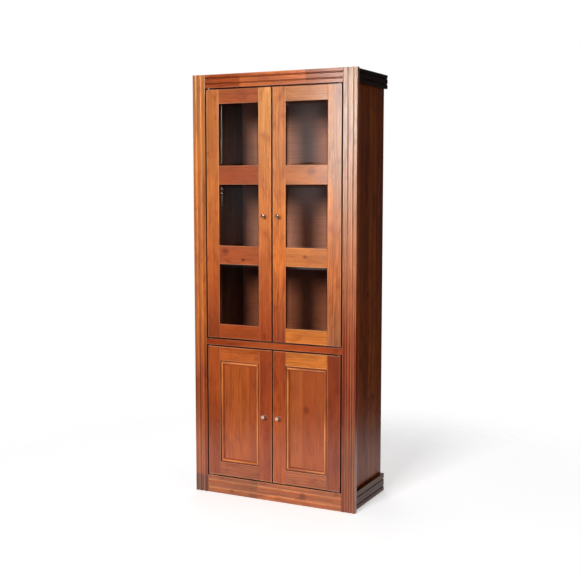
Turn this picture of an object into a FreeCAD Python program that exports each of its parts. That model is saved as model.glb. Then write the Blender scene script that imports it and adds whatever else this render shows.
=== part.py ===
import FreeCAD, Part
import math
import os

# A tall pine bookcase: a glazed pair of doors above a panelled pair, in a fluted front frame.
# Millimetres, +Z up, front towards -Y, origin on the floor under the middle of the whole piece.

# Overall sizes
WIDTH = 800.0
DEPTH = 380.0
HEIGHT = 1900.0

# Boards of the carcass
BOARD_THICK = 18.0
SIDE_INSET = 31.0
BACK_THICK = 6.0
BACK_RECESS = 4.0
BACK_LAP = 8.0
BACK_PLAY = 0.5

# Front frame
FACE_THICK = 20.0
PILASTER_WIDTH = 65.0
FRIEZE_HEIGHT = 61.0
MIDDLE_RAIL_HEIGHT = 30.0
PLINTH_HEIGHT = 82.0
STRIP_THICK = 17.0
EDGE_EASE = 2.0

# Round flutes cut along the pilasters, frieze, plinth and side strips
FLUTE_RADIUS = 3.8
FLUTE_DEPTH = 3.0
FLUTE_MARGIN = 16.5
FLUTE_SPACING = 24.5
PLINTH_FLUTE_MARGIN = 26.0
PLINTH_FLUTE_SPACING = 35.0

# Doors
DOOR_THICK = 20.0
DOOR_GAP = 4.5
LOWER_DOOR_HEIGHT = 598.0
STILE_WIDTH = 65.0
MID_RAIL_HEIGHT = 85.0
PANE_ROWS = 3
TENON_LENGTH = 28.0
TENON_THICK = 8.0
TENON_SHOULDER = 14.0
TENON_SETBACK = 6.0
JOINT_PLAY = 0.1

# Glass and its beads
GLASS_THICK = 4.0
GLASS_SETBACK = 9.0
GLASS_LAP = 8.0
REBATE_WIDTH = 10.0
BEVEL_WIDTH = 10.0
BEVEL_DEPTH = 2.2
BEAD_WIDTH = 9.5
BEAD_ROUND = 3.0

# Panel and moulding of the lower doors
PANEL_THICK = 8.0
PANEL_SETBACK = 8.0
PANEL_LAP = 9.0
GROOVE_DEPTH = 10.0
MOULDING_BASE = 3.0
MOULDING_QUIRK = 3.0
MOULDING_RADIUS = 5.5

# Shelves on pins
SHELF_THICK = 18.0
SHELF_SETBACK = 12.0
SHELF_END_PLAY = 1.0
SHELF_BACK_PLAY = 2.0
PIN_RADIUS = 2.5
PIN_COLLAR_RADIUS = 4.0
PIN_COLLAR = 1.5
PIN_IN = 9.0
PIN_OUT = 8.0
PIN_HOLE_DEPTH = 10.0
PIN_HOLE_PITCH = 32.0
PIN_HOLE_STEPS = (-2, -1, 0, 1, 2)
PIN_INSET = 45.0
SEAT_GAP = 0.05

# Pivot hinges let into the top and bottom edges of the doors
PIVOT_INSET_X = 12.0
PIVOT_INSET_Y = 7.0
PIVOT_PIN_RADIUS = 2.5
PIVOT_PLATE_LENGTH = 38.0
PIVOT_PLATE_NOSE = 8.0
PIVOT_PLATE_WIDTH = 8.0
PIVOT_PLATE_THICK = 2.5
PIVOT_PIN_PAST = 1.5
PIVOT_ROOM = 1.0
PIVOT_SCREWS = (12.0, 24.0)

# Knobs, catches and strikes
KNOB_PROJECTION = 28.0
KNOB_HEAD_RADIUS = 8.5
KNOB_NECK_RADIUS = 4.8
KNOB_FOOT_RADIUS = 6.5
KNOB_FOOT = 2.0
KNOB_HEAD = 9.0
KNOB_RIM = 3.0
KNOB_SCREW_RADIUS = 2.0
KNOB_SCREW_REACH = 12.0
CATCH_WIDTH = 44.0
CATCH_DEPTH = 15.0
CATCH_HEIGHT = 14.0
CATCH_GAP = 0.3
CATCH_SCREW_SPACING = 26.0
CATCH_SCREW_LENGTH = 22.0
STRIKE_WIDTH = 18.0
STRIKE_HEIGHT = 8.0
STRIKE_THICK = 1.0
STRIKE_FROM_TOP = 5.0
STRIKE_FROM_EDGE = 10.5

# Screws, dowels and glue blocks
SCREW_RADIUS = 1.5
SCREW_HEAD_RADIUS = 2.9
SCREW_HEAD = 1.4
SCREW_LENGTH = 11.0
PLATE_SCREW_LENGTH = 8.0
STRIKE_SCREW_HEAD = 0.9
PAN_HEAD_RADIUS = 3.5
PAN_HEAD = 2.0
BACK_SCREW_LENGTH = 22.0
BACK_SCREW_ROWS = 5
BACK_SCREW_END = 60.0
DOWEL_RADIUS = 4.0
DOWEL_LENGTH = 30.0
DOWEL_IN_SIDE = 11.0
DOWEL_IN_TOP = 10.0
DOWEL_INSET = 50.0
RAIL_DOWEL_INSET = 18.0
GLUE_BLOCK_LEG = 25.0
GLUE_BLOCK_LENGTH = 50.0
GLUE_BLOCK_SPACING = 200.0
FIT = 0.05

# Planes and spans that follow from the sizes
FRONT = (KNOB_PROJECTION - DEPTH) / 2
BACK = FRONT + DEPTH
FACE_BACK = FRONT + FACE_THICK
BACK_BOARD_BACK = BACK - BACK_RECESS
BACK_BOARD_FRONT = BACK_BOARD_BACK - BACK_THICK
HALF = WIDTH / 2
PILASTER_IN = HALF - PILASTER_WIDTH
SIDE_OUT = HALF - SIDE_INSET
SIDE_IN = SIDE_OUT - BOARD_THICK
TOP_UNDER = HEIGHT - BOARD_THICK

FACE_Y = (FRONT, FACE_BACK)
INNER_Y = (FACE_BACK, BACK_BOARD_FRONT)
INNER_X = (-SIDE_IN, SIDE_IN)
PLINTH_Z = (0.0, PLINTH_HEIGHT)
FRIEZE_Z = (HEIGHT - FRIEZE_HEIGHT, HEIGHT)
LOWER_Z = (PLINTH_HEIGHT + DOOR_GAP, PLINTH_HEIGHT + DOOR_GAP + LOWER_DOOR_HEIGHT)
MIDDLE_Z = (LOWER_Z[1] + DOOR_GAP, LOWER_Z[1] + DOOR_GAP + MIDDLE_RAIL_HEIGHT)
UPPER_Z = (MIDDLE_Z[1] + DOOR_GAP, FRIEZE_Z[0] - DOOR_GAP)
BOTTOM_Z = (PLINTH_HEIGHT - BOARD_THICK, PLINTH_HEIGHT)
FIXED_SHELF_Z = (MIDDLE_Z[0], MIDDLE_Z[0] + BOARD_THICK)

DOOR_X = (DOOR_GAP / 2, PILASTER_IN - DOOR_GAP)
DOOR_Y = (FRONT, FRONT + DOOR_THICK)
OPENING_X = (DOOR_X[0] + STILE_WIDTH, DOOR_X[1] - STILE_WIDTH)
MEETING_X = (DOOR_X[0], OPENING_X[0])
HINGE_X = (OPENING_X[1], DOOR_X[1])
PIVOT_X = DOOR_X[1] - PIVOT_INSET_X
PIVOT_Y = FRONT + PIVOT_INSET_Y
KNOB_X = (MEETING_X[0] + MEETING_X[1]) / 2
MOULDING_WIDTH = 2 * (MOULDING_QUIRK + MOULDING_RADIUS)

TOUCH = 1e-6
X_AXIS = FreeCAD.Vector(1, 0, 0)
Y_AXIS = FreeCAD.Vector(0, 1, 0)
Z_AXIS = FreeCAD.Vector(0, 0, 1)


# Plain shapes
def block(xs, ys, zs):
    low = FreeCAD.Vector(min(xs), min(ys), min(zs))
    high = FreeCAD.Vector(max(xs), max(ys), max(zs))
    size = high - low
    return Part.makeBox(size.x, size.y, size.z, low)


def grown(span, extra):
    return (span[0] - extra, span[1] + extra)


def middle(span):
    return (span[0] + span[1]) / 2


def rod(radius, start, end):
    along = end - start
    return Part.makeCylinder(radius, along.Length, start, along)


def mirrored(shape):
    return shape.mirror(FreeCAD.Vector(0, 0, 0), X_AXIS)


def both(shapes):
    return shapes + [mirrored(shape) for shape in shapes]


def eased(shape, along, outer):
    # Rounds the long edges that run along one axis on the outer face.
    edges = []
    for edge in shape.Edges:
        run = edge.Vertexes[-1].Point - edge.Vertexes[0].Point
        if run.normalize().cross(along).Length > TOUCH:
            continue
        if all(outer(vertex.Point) for vertex in edge.Vertexes):
            edges.append(edge)
    return shape.makeFillet(EDGE_EASE, edges)


def on_front(point):
    return abs(point.y - FRONT) < TOUCH


def cut_all(shape, tools):
    return shape.cut(Part.makeCompound(tools)) if tools else shape


# Fasteners: each also makes its own hole when it is given some spare room
def flat_screw(point, into, length, head=SCREW_HEAD, spare=0.0):
    cone = Part.makeCone(SCREW_HEAD_RADIUS + spare, SCREW_RADIUS + spare, head, point, into)
    return cone.fuse(rod(SCREW_RADIUS + spare, point, point + into * (length + spare))).removeSplitter()


def pan_screw(point, into, radius, length, spare=0.0):
    shank = rod(radius + spare, point, point + into * (length + spare))
    if spare:
        return shank
    return shank.fuse(rod(PAN_HEAD_RADIUS, point - into * PAN_HEAD, point)).removeSplitter()


def side_dowel(y, z, spare=0.0):
    inner = SIDE_IN + DOWEL_IN_SIDE - DOWEL_LENGTH - spare
    outer = SIDE_IN + DOWEL_IN_SIDE + spare
    return rod(DOWEL_RADIUS + spare, FreeCAD.Vector(inner, y, z), FreeCAD.Vector(outer, y, z))


def top_dowel(y, spare=0.0):
    x = (SIDE_IN + SIDE_OUT) / 2
    low = FreeCAD.Vector(x, y, TOP_UNDER + DOWEL_IN_TOP - DOWEL_LENGTH - spare)
    high = FreeCAD.Vector(x, y, TOP_UNDER + DOWEL_IN_TOP + spare)
    return rod(DOWEL_RADIUS + spare, low, high)


def carcass_dowels(spare=0.0):
    rows = (INNER_Y[0] + DOWEL_INSET, middle(INNER_Y), INNER_Y[1] - DOWEL_INSET)
    right = [top_dowel(y, spare) for y in rows]
    for z_span in (BOTTOM_Z, FIXED_SHELF_Z):
        right += [side_dowel(y, middle(z_span), spare) for y in rows]
    right.append(side_dowel(middle(BACKING_Y), middle(BACKING_Z), spare))
    for z in (RAIL_DOWEL_INSET, REAR_RAIL_Z[1] - RAIL_DOWEL_INSET):
        right.append(side_dowel(middle(REAR_RAIL_Y), z, spare))
    return both(right)


def back_screws(spare=0.0):
    low, high = BOTTOM_Z[1] + BACK_SCREW_END, TOP_UNDER - BACK_SCREW_END
    step = (high - low) / (BACK_SCREW_ROWS - 1)
    places = [(SIDE_IN + BACK_LAP / 2, low + row * step) for row in range(BACK_SCREW_ROWS)]
    places += [(SIDE_IN / 2, middle(BOTTOM_Z)), (SIDE_IN / 2, middle(FIXED_SHELF_Z))]
    points = [FreeCAD.Vector(x, BACK_BOARD_BACK, z) for x, z in places]
    return both([pan_screw(point, -Y_AXIS, SCREW_RADIUS, BACK_SCREW_LENGTH, spare) for point in points])


# Pivot hinges, made on the right and mirrored for the left
PIVOT_PLATE_X = (PIVOT_X + PIVOT_PLATE_NOSE - PIVOT_PLATE_LENGTH, PIVOT_X + PIVOT_PLATE_NOSE)
PIVOT_PLATE_Y = (PIVOT_Y - PIVOT_PLATE_WIDTH / 2, PIVOT_Y + PIVOT_PLATE_WIDTH / 2)
# Each frame edge that carries a pivot, with the side on which its door lies
UPPER_PIVOTS = ((MIDDLE_Z[1], 1), (FRIEZE_Z[0], -1))
LOWER_PIVOTS = ((PLINTH_HEIGHT, 1), (MIDDLE_Z[0], -1))


def pivot_screw_points(z):
    return [FreeCAD.Vector(PIVOT_X - offset, PIVOT_Y, z) for offset in PIVOT_SCREWS]


def frame_pivot_screws(edge_z, up, spare=0.0):
    into = Z_AXIS * -up
    return [flat_screw(p, into, SCREW_LENGTH, spare=spare) for p in pivot_screw_points(edge_z)]


def door_pivot_screws(edge_z, up, spare=0.0):
    into = Z_AXIS * up
    points = pivot_screw_points(edge_z + up * DOOR_GAP)
    return [flat_screw(p, into, SCREW_LENGTH, spare=spare) for p in points]


def pivot_pin(edge_z, up, radius, past):
    reach = DOOR_GAP + PIVOT_PLATE_THICK + past
    start = FreeCAD.Vector(PIVOT_X, PIVOT_Y, edge_z - up * PIVOT_PLATE_THICK)
    return rod(radius, start, FreeCAD.Vector(PIVOT_X, PIVOT_Y, edge_z + up * reach))


def frame_pivot_slot(edge_z, up):
    return block(PIVOT_PLATE_X, PIVOT_PLATE_Y, (edge_z - up * PIVOT_PLATE_THICK, edge_z))


def door_pivot_slot(edge_z, up):
    near = edge_z + up * DOOR_GAP
    return block(PIVOT_PLATE_X, PIVOT_PLATE_Y, (near, near + up * PIVOT_PLATE_THICK))


def frame_pivot_plate(edge_z, up):
    plate = frame_pivot_slot(edge_z, up).fuse(pivot_pin(edge_z, up, PIVOT_PIN_RADIUS, PIVOT_PIN_PAST))
    return cut_all(plate.removeSplitter(), frame_pivot_screws(edge_z, up, FIT))


def door_pivot_plate(edge_z, up):
    hole = pivot_pin(edge_z, up, PIVOT_PIN_RADIUS + FIT, PIVOT_PIN_PAST)
    return cut_all(door_pivot_slot(edge_z, up), [hole] + door_pivot_screws(edge_z, up, FIT))


def frame_pivot_cuts(edge_z, up):
    return both([frame_pivot_slot(edge_z, up)] + frame_pivot_screws(edge_z, up, FIT))


def door_pivot_cuts(edge_z, up):
    room = pivot_pin(edge_z, up, PIVOT_PIN_RADIUS + PIVOT_ROOM, PIVOT_PIN_PAST + PIVOT_ROOM)
    return [door_pivot_slot(edge_z, up), room] + door_pivot_screws(edge_z, up, FIT)


# Carcass spans that the dowels share with the boards
BACKING_Y = (FACE_BACK, FACE_BACK + BOARD_THICK)
BACKING_Z = (FRIEZE_Z[0], TOP_UNDER)
REAR_RAIL_Y = (BACK_BOARD_FRONT - BOARD_THICK, BACK_BOARD_FRONT)
REAR_RAIL_Z = (0.0, BOTTOM_Z[0])


def shelf_levels():
    # The upper shelves hide behind the middle rails of the doors, and the lower one halves its bay.
    rails = [middle(span) for span in rail_spans(UPPER_Z, PANE_ROWS)[1:-1]]
    return rails + [(BOTTOM_Z[1] + FIXED_SHELF_Z[0]) / 2]


def pin_rows():
    return (SHELF_Y[0] + PIN_INSET, SHELF_Y[1] - PIN_INSET)


def pin_level(level):
    return level - SHELF_THICK / 2 - SEAT_GAP - PIN_RADIUS


def shelf_pin_holes():
    holes = []
    for level in shelf_levels():
        for step in PIN_HOLE_STEPS:
            z = pin_level(level) + step * PIN_HOLE_PITCH
            for y in pin_rows():
                start = FreeCAD.Vector(SIDE_IN, y, z)
                holes.append(rod(PIN_RADIUS + FIT, start, start + X_AXIS * PIN_HOLE_DEPTH))
    return holes


def shelf_pins():
    pins = []
    for level in shelf_levels():
        for y in pin_rows():
            face = FreeCAD.Vector(SIDE_IN, y, pin_level(level))
            pin = rod(PIN_RADIUS, face - X_AXIS * PIN_OUT, face + X_AXIS * PIN_IN)
            collar = rod(PIN_COLLAR_RADIUS, face - X_AXIS * PIN_COLLAR, face)
            lifted = block(grown((SIDE_IN, SIDE_IN), PIN_OUT), grown((y, y), PIN_OUT),
                           (face.z + PIN_RADIUS, face.z + PIN_OUT))
            pins.append(pin.fuse(collar).removeSplitter().cut(lifted))
    return both(pins)


# Carcass boards
def side_panel():
    panel = block((SIDE_IN, SIDE_OUT), (FACE_BACK, BACK), (0, TOP_UNDER))
    rebate = block((SIDE_IN, SIDE_IN + BACK_LAP), (BACK_BOARD_FRONT, BACK), (BOTTOM_Z[0], TOP_UNDER))
    return cut_all(panel, [rebate] + carcass_dowels(FIT) + shelf_pin_holes() + back_screws(FIT))


def carcass_board(xs, ys, zs):
    return cut_all(block(xs, ys, zs), carcass_dowels(FIT) + back_screws(FIT) + catch_screws(FIT))


def back_panel():
    width = SIDE_IN + BACK_LAP - BACK_PLAY
    board = block((-width, width), (BACK_BOARD_FRONT, BACK_BOARD_BACK), (BOTTOM_Z[0], TOP_UNDER - BACK_PLAY))
    return cut_all(board, back_screws(FIT))


def glue_blocks():
    corner = FreeCAD.Vector(-GLUE_BLOCK_LENGTH / 2, FACE_BACK, BOTTOM_Z[0])
    points = [corner, corner + Y_AXIS * GLUE_BLOCK_LEG, corner - Z_AXIS * GLUE_BLOCK_LEG, corner]
    wedge = Part.Face(Part.makePolygon(points)).extrude(X_AXIS * GLUE_BLOCK_LENGTH)
    return [wedge.translated(X_AXIS * GLUE_BLOCK_SPACING * place) for place in (-1, 0, 1)]


# Front frame and side strips
def pilaster():
    post = eased(block((PILASTER_IN, HALF), FACE_Y, (0, HEIGHT)), Z_AXIS, on_front)
    axis_y = FRONT - FLUTE_RADIUS + FLUTE_DEPTH
    flutes = []
    for number in range(2):
        x = HALF - FLUTE_MARGIN - number * FLUTE_SPACING
        flutes.append(rod(FLUTE_RADIUS, FreeCAD.Vector(x, axis_y, 0), FreeCAD.Vector(x, axis_y, HEIGHT)))
    return cut_all(post, flutes)


def flute_levels(top, margin, spacing):
    return [top - margin, top - margin - spacing]


def fluted_rail(zs, levels, cuts):
    rail = eased(block((-PILASTER_IN, PILASTER_IN), FACE_Y, zs), X_AXIS, on_front)
    axis_y = FRONT - FLUTE_RADIUS + FLUTE_DEPTH
    for z in levels:
        start = FreeCAD.Vector(-PILASTER_IN, axis_y, z)
        cuts = cuts + [rod(FLUTE_RADIUS, start, start + X_AXIS * 2 * PILASTER_IN)]
    return cut_all(rail, cuts)


def side_strip(zs, levels):
    outer = SIDE_OUT + STRIP_THICK
    strip = block((SIDE_OUT, outer), (FACE_BACK, BACK), zs)
    strip = eased(strip, Y_AXIS, lambda point: abs(point.x - outer) < TOUCH)
    axis_x = outer + FLUTE_RADIUS - FLUTE_DEPTH
    flutes = [rod(FLUTE_RADIUS, FreeCAD.Vector(axis_x, FACE_BACK, z), FreeCAD.Vector(axis_x, BACK, z))
              for z in levels]
    return cut_all(strip, flutes)


FRIEZE_FLUTES = flute_levels(HEIGHT, FLUTE_MARGIN, FLUTE_SPACING)
PLINTH_FLUTES = flute_levels(PLINTH_HEIGHT, PLINTH_FLUTE_MARGIN, PLINTH_FLUTE_SPACING)


# Shelves, catches and strikes
SHELF_Y = (DOOR_Y[1] + SHELF_SETBACK, BACK_BOARD_FRONT - SHELF_BACK_PLAY)
CATCH_Y = (DOOR_Y[1] + STRIKE_THICK + CATCH_GAP, DOOR_Y[1] + STRIKE_THICK + CATCH_GAP + CATCH_DEPTH)
CATCH_TOPS = (FRIEZE_Z[0], FIXED_SHELF_Z[0])


def shelves():
    width = SIDE_IN - SHELF_END_PLAY
    half = SHELF_THICK / 2
    return [block((-width, width), SHELF_Y, grown((z, z), half)) for z in shelf_levels()]


def catch_screws(spare=0.0):
    screws = []
    for top in CATCH_TOPS:
        for side in (-1, 1):
            point = FreeCAD.Vector(side * CATCH_SCREW_SPACING / 2, middle(CATCH_Y), top - CATCH_HEIGHT)
            screws.append(flat_screw(point, Z_AXIS, CATCH_SCREW_LENGTH, spare=spare))
    return screws


def catches():
    width = CATCH_WIDTH / 2
    bodies = []
    for top in CATCH_TOPS:
        body = block((-width, width), CATCH_Y, (top - CATCH_HEIGHT, top))
        corners = [edge for edge in body.Edges if abs(edge.Vertexes[0].Point.z - edge.Vertexes[1].Point.z) > TOUCH]
        bodies.append(cut_all(body.makeFillet(EDGE_EASE, corners), catch_screws(FIT)))
    return bodies


def strike_center(door_z):
    x = DOOR_X[0] + STRIKE_FROM_EDGE
    return FreeCAD.Vector(x, DOOR_Y[1] + STRIKE_THICK, door_z[1] - STRIKE_FROM_TOP)


def strike_screw(door_z, spare=0.0):
    return flat_screw(strike_center(door_z), -Y_AXIS, PLATE_SCREW_LENGTH, STRIKE_SCREW_HEAD, spare)


def strike_plate(door_z):
    center = strike_center(door_z)
    plate = block(grown((center.x, center.x), STRIKE_WIDTH / 2), (DOOR_Y[1], center.y),
                  grown((center.z, center.z), STRIKE_HEIGHT / 2))
    return plate.cut(strike_screw(door_z, FIT))


# Knobs
def knob_profile():
    # Half outline as radius and distance out from the door, with a waisted neck and a domed head.
    under_head = KNOB_PROJECTION - KNOB_HEAD
    rim = KNOB_PROJECTION - KNOB_RIM
    shoulder = (KNOB_HEAD_RADIUS + KNOB_NECK_RADIUS) / 2
    waist = KNOB_FOOT + KNOB_FOOT_RADIUS - KNOB_NECK_RADIUS
    dome = (KNOB_HEAD_RADIUS ** 2 + KNOB_RIM ** 2) / (2 * KNOB_RIM)
    half_turn = math.asin(KNOB_HEAD_RADIUS / dome) / 2
    crown = (dome * math.sin(half_turn), KNOB_PROJECTION - dome + dome * math.cos(half_turn))
    return [((0, 0), (KNOB_FOOT_RADIUS, 0)),
            ((KNOB_FOOT_RADIUS, 0), (KNOB_FOOT_RADIUS, KNOB_FOOT)),
            ((KNOB_FOOT_RADIUS, KNOB_FOOT), (KNOB_NECK_RADIUS, waist)),
            ((KNOB_NECK_RADIUS, waist), (KNOB_NECK_RADIUS, under_head - KNOB_RIM)),
            ((KNOB_NECK_RADIUS, under_head - KNOB_RIM), (shoulder, under_head + KNOB_RIM / 2),
             (KNOB_HEAD_RADIUS, under_head + KNOB_RIM)),
            ((KNOB_HEAD_RADIUS, under_head + KNOB_RIM), (KNOB_HEAD_RADIUS, rim)),
            ((KNOB_HEAD_RADIUS, rim), crown, (0, KNOB_PROJECTION)),
            ((0, KNOB_PROJECTION), (0, 0))]


def outline_face(segments, place):
    # A face from straight runs (two points) and arcs (three points).
    edges = []
    for segment in segments:
        points = [place(*pair) for pair in segment]
        curve = Part.LineSegment(*points) if len(points) == 2 else Part.Arc(*points)
        edges.append(curve.toShape())
    return Part.Face(Part.Wire(edges))


def knob_screw(door_z, spare=0.0):
    head = FreeCAD.Vector(KNOB_X, DOOR_Y[1], middle(door_z))
    return pan_screw(head, -Y_AXIS, KNOB_SCREW_RADIUS, DOOR_THICK + KNOB_SCREW_REACH, spare)


def knob(door_z):
    seat = FreeCAD.Vector(KNOB_X, FRONT, middle(door_z))
    half = outline_face(knob_profile(), lambda radius, out: seat + X_AXIS * radius - Y_AXIS * out)
    return half.revolve(seat, Y_AXIS, 360).cut(knob_screw(door_z, FIT))


# Door frames: rails are tenoned into the stiles
def rail_spans(door_z, rows):
    # From the bottom rail to the top rail, with equal openings between them.
    low, high = door_z
    inner = (rows - 1) * MID_RAIL_HEIGHT
    opening = (high - low - 2 * STILE_WIDTH - inner) / rows
    spans = [(low, low + STILE_WIDTH)]
    for row in range(1, rows):
        start = spans[-1][1] + opening
        spans.append((start, start + MID_RAIL_HEIGHT))
    spans.append((high - STILE_WIDTH, high))
    return spans


def opening_spans(rails):
    return [(below[1], above[0]) for below, above in zip(rails, rails[1:])]


def tenon(rail_z, side_x, inward, spare=0.0):
    reach = side_x + inward * (TENON_LENGTH + spare)
    ys = grown((FRONT + TENON_SETBACK, FRONT + TENON_SETBACK + TENON_THICK), spare)
    return block((side_x, reach), ys, grown(rail_z, spare - TENON_SHOULDER))


def rail(rail_z, cuts):
    body = eased(block(OPENING_X, DOOR_Y, rail_z), X_AXIS, on_front)
    tenons = [tenon(rail_z, OPENING_X[0], -1), tenon(rail_z, OPENING_X[1], 1)]
    return cut_all(body, cuts).fuse(tenons).removeSplitter()


def stile(xs, door_z, rails, mortise_x, inward, cuts):
    body = eased(block(xs, DOOR_Y, door_z), Z_AXIS, on_front)
    mortises = [tenon(rail_z, mortise_x, inward, JOINT_PLAY) for rail_z in rails]
    return cut_all(body, mortises + cuts)


def mitred_frame(xs, zs, width, ys, segments):
    # Four lengths of one profile, mitred round a rectangle and laid inside its edge.
    corners = [(xs[0], zs[0]), (xs[1], zs[0]), (xs[1], zs[1]), (xs[0], zs[1])]
    inner = [(xs[0] + width, zs[0] + width), (xs[1] - width, zs[0] + width),
             (xs[1] - width, zs[1] - width), (xs[0] + width, zs[1] - width)]
    lengths = []
    for number in range(4):
        after = (number + 1) % 4
        start = FreeCAD.Vector(corners[number][0], 0, corners[number][1])
        run = FreeCAD.Vector(corners[after][0], 0, corners[after][1]) - start
        inward = FreeCAD.Vector(-run.z, 0, run.x).normalize()
        bar = outline_face(segments, lambda across, y: start + inward * across + Y_AXIS * y).extrude(run)
        outline = [corners[number], corners[after], inner[after], inner[number], corners[number]]
        mitre = Part.Face(Part.makePolygon([FreeCAD.Vector(x, ys[0], z) for x, z in outline]))
        lengths.append(bar.common(mitre.extrude(Y_AXIS * (ys[1] - ys[0]))))
    return lengths


# Glazing of the upper doors
def glass_pocket(opening_z):
    return block(grown(OPENING_X, REBATE_WIDTH), (FRONT + GLASS_SETBACK, DOOR_Y[1]), grown(opening_z, REBATE_WIDTH))


def glass_pane(opening_z):
    xs = grown(OPENING_X, GLASS_LAP)
    zs = grown(opening_z, GLASS_LAP)
    front = FRONT + GLASS_SETBACK
    flat = GLASS_LAP + BEVEL_WIDTH
    bevel = Part.makeWedge(xs[0] + flat, front, zs[0] + flat, zs[0], xs[0],
                           xs[1] - flat, front + BEVEL_DEPTH, zs[1] - flat, zs[1], xs[1])
    plate = block(xs, (front + BEVEL_DEPTH, front + GLASS_THICK), zs)
    return plate.fuse(bevel).removeSplitter()


def glazing_beads(opening_z):
    near = FRONT + GLASS_SETBACK + GLASS_THICK
    far = DOOR_Y[1]
    bend = BEAD_ROUND * (1 - math.sqrt(0.5))
    segments = [((0, near), (BEAD_WIDTH, near)),
                ((BEAD_WIDTH, near), (BEAD_WIDTH, far - BEAD_ROUND)),
                ((BEAD_WIDTH, far - BEAD_ROUND), (BEAD_WIDTH - bend, far - bend), (BEAD_WIDTH - BEAD_ROUND, far)),
                ((BEAD_WIDTH - BEAD_ROUND, far), (0, far)),
                ((0, far), (0, near))]
    outer_x = grown(OPENING_X, REBATE_WIDTH)
    outer_z = grown(opening_z, REBATE_WIDTH)
    return mitred_frame(outer_x, outer_z, BEAD_WIDTH, (near, far), segments)


# Panel of the lower doors
def panel_groove(opening_z):
    ys = grown((FRONT + PANEL_SETBACK, FRONT + PANEL_SETBACK + PANEL_THICK), JOINT_PLAY)
    return block(grown(OPENING_X, GROOVE_DEPTH), ys, grown(opening_z, GROOVE_DEPTH))


def door_panel(opening_z):
    ys = (FRONT + PANEL_SETBACK, FRONT + PANEL_SETBACK + PANEL_THICK)
    return block(grown(OPENING_X, PANEL_LAP), ys, grown(opening_z, PANEL_LAP))


def panel_moulding(opening_z):
    base = FRONT + PANEL_SETBACK
    face = base - MOULDING_BASE
    ridge = (MOULDING_QUIRK, MOULDING_QUIRK + MOULDING_RADIUS, MOULDING_QUIRK + 2 * MOULDING_RADIUS)
    segments = [((0, base), (0, face)),
                ((0, face), (ridge[0], face)),
                ((ridge[0], face), (ridge[1], face - MOULDING_RADIUS), (ridge[2], face)),
                ((ridge[2], face), (MOULDING_WIDTH, face)),
                ((MOULDING_WIDTH, face), (MOULDING_WIDTH, base)),
                ((MOULDING_WIDTH, base), (0, base))]
    return mitred_frame(OPENING_X, opening_z, MOULDING_WIDTH, (face - MOULDING_RADIUS, base), segments)


def door(door_z, rows, pivots, pocket):
    # The pieces that both kinds of door share, for the right-hand door of a pair.
    rails = rail_spans(door_z, rows)
    openings = opening_spans(rails)
    pockets = [pocket(opening_z) for opening_z in openings]
    pivot_cuts = []
    pivot_screws = []
    for edge_z, up in pivots:
        pivot_cuts += door_pivot_cuts(edge_z, up)
        pivot_screws += door_pivot_screws(edge_z, up)
    knob_cuts = [knob_screw(door_z, FIT), strike_screw(door_z, FIT)]
    pieces = {
        "hinge_stile": [stile(HINGE_X, door_z, rails, OPENING_X[1], 1, pockets + pivot_cuts)],
        "meeting_stile": [stile(MEETING_X, door_z, rails, OPENING_X[0], -1, pockets + knob_cuts)],
        "end_rails": [rail(rails[0], pockets), rail(rails[-1], pockets)],
        "knob": [knob(door_z)],
        "strike_plate": [strike_plate(door_z)],
        "pivot_plates": [door_pivot_plate(edge_z, up) for edge_z, up in pivots],
        "screws": pivot_screws + [knob_screw(door_z), strike_screw(door_z)],
    }
    if rows > 1:
        pieces["mid_rails"] = [rail(span, pockets) for span in rails[1:-1]]
    return pieces, openings


def upper_door():
    pieces, openings = door(UPPER_Z, PANE_ROWS, UPPER_PIVOTS, glass_pocket)
    pieces["glass_panes"] = [glass_pane(opening_z) for opening_z in openings]
    pieces["glazing_beads"] = [bead for opening_z in openings for bead in glazing_beads(opening_z)]
    return pieces


def lower_door():
    pieces, openings = door(LOWER_Z, 1, LOWER_PIVOTS, panel_groove)
    pieces["panel"] = [door_panel(openings[0])]
    pieces["panel_moulding"] = panel_moulding(openings[0])
    return pieces


def carcass():
    frame_pivots = UPPER_PIVOTS + LOWER_PIVOTS
    pivot_plates = []
    pivot_screws = []
    pivot_cuts = []
    for edge_z, up in frame_pivots:
        pivot_plates.append(frame_pivot_plate(edge_z, up))
        pivot_screws += frame_pivot_screws(edge_z, up)
        pivot_cuts += frame_pivot_cuts(edge_z, up)
    side = side_panel()
    post = pilaster()
    return {
        "right_side_panel": [side],
        "left_side_panel": [mirrored(side)],
        "right_pilaster": [post],
        "left_pilaster": [mirrored(post)],
        "top_panel": [carcass_board((-SIDE_OUT, SIDE_OUT), (FACE_BACK, BACK), (TOP_UNDER, HEIGHT))],
        "bottom_panel": [carcass_board(INNER_X, INNER_Y, BOTTOM_Z)],
        "fixed_shelf": [carcass_board(INNER_X, INNER_Y, FIXED_SHELF_Z)],
        "frieze_backing_rail": [carcass_board(INNER_X, BACKING_Y, BACKING_Z)],
        "rear_plinth_rail": [carcass_board(INNER_X, REAR_RAIL_Y, REAR_RAIL_Z)],
        "back_panel": [back_panel()],
        "glue_blocks": glue_blocks(),
        "frieze_rail": [fluted_rail(FRIEZE_Z, FRIEZE_FLUTES, pivot_cuts)],
        "middle_rail": [fluted_rail(MIDDLE_Z, [], pivot_cuts)],
        "plinth_front": [fluted_rail(PLINTH_Z, PLINTH_FLUTES, pivot_cuts)],
        "cornice_strips": both([side_strip(FRIEZE_Z, FRIEZE_FLUTES)]),
        "plinth_strips": both([side_strip(PLINTH_Z, PLINTH_FLUTES)]),
        "adjustable_shelves": shelves(),
        "shelf_pins": shelf_pins(),
        "magnetic_catches": catches(),
        "frame_pivot_plates": both(pivot_plates),
        "carcass_screws": back_screws() + both(pivot_screws) + catch_screws(),
        "carcass_dowels": carcass_dowels(),
    }


def export(name, solids):
    shape = solids[0] if len(solids) == 1 else Part.makeCompound(solids)
    shape.exportStep(f"parts/{name}.step")


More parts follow.
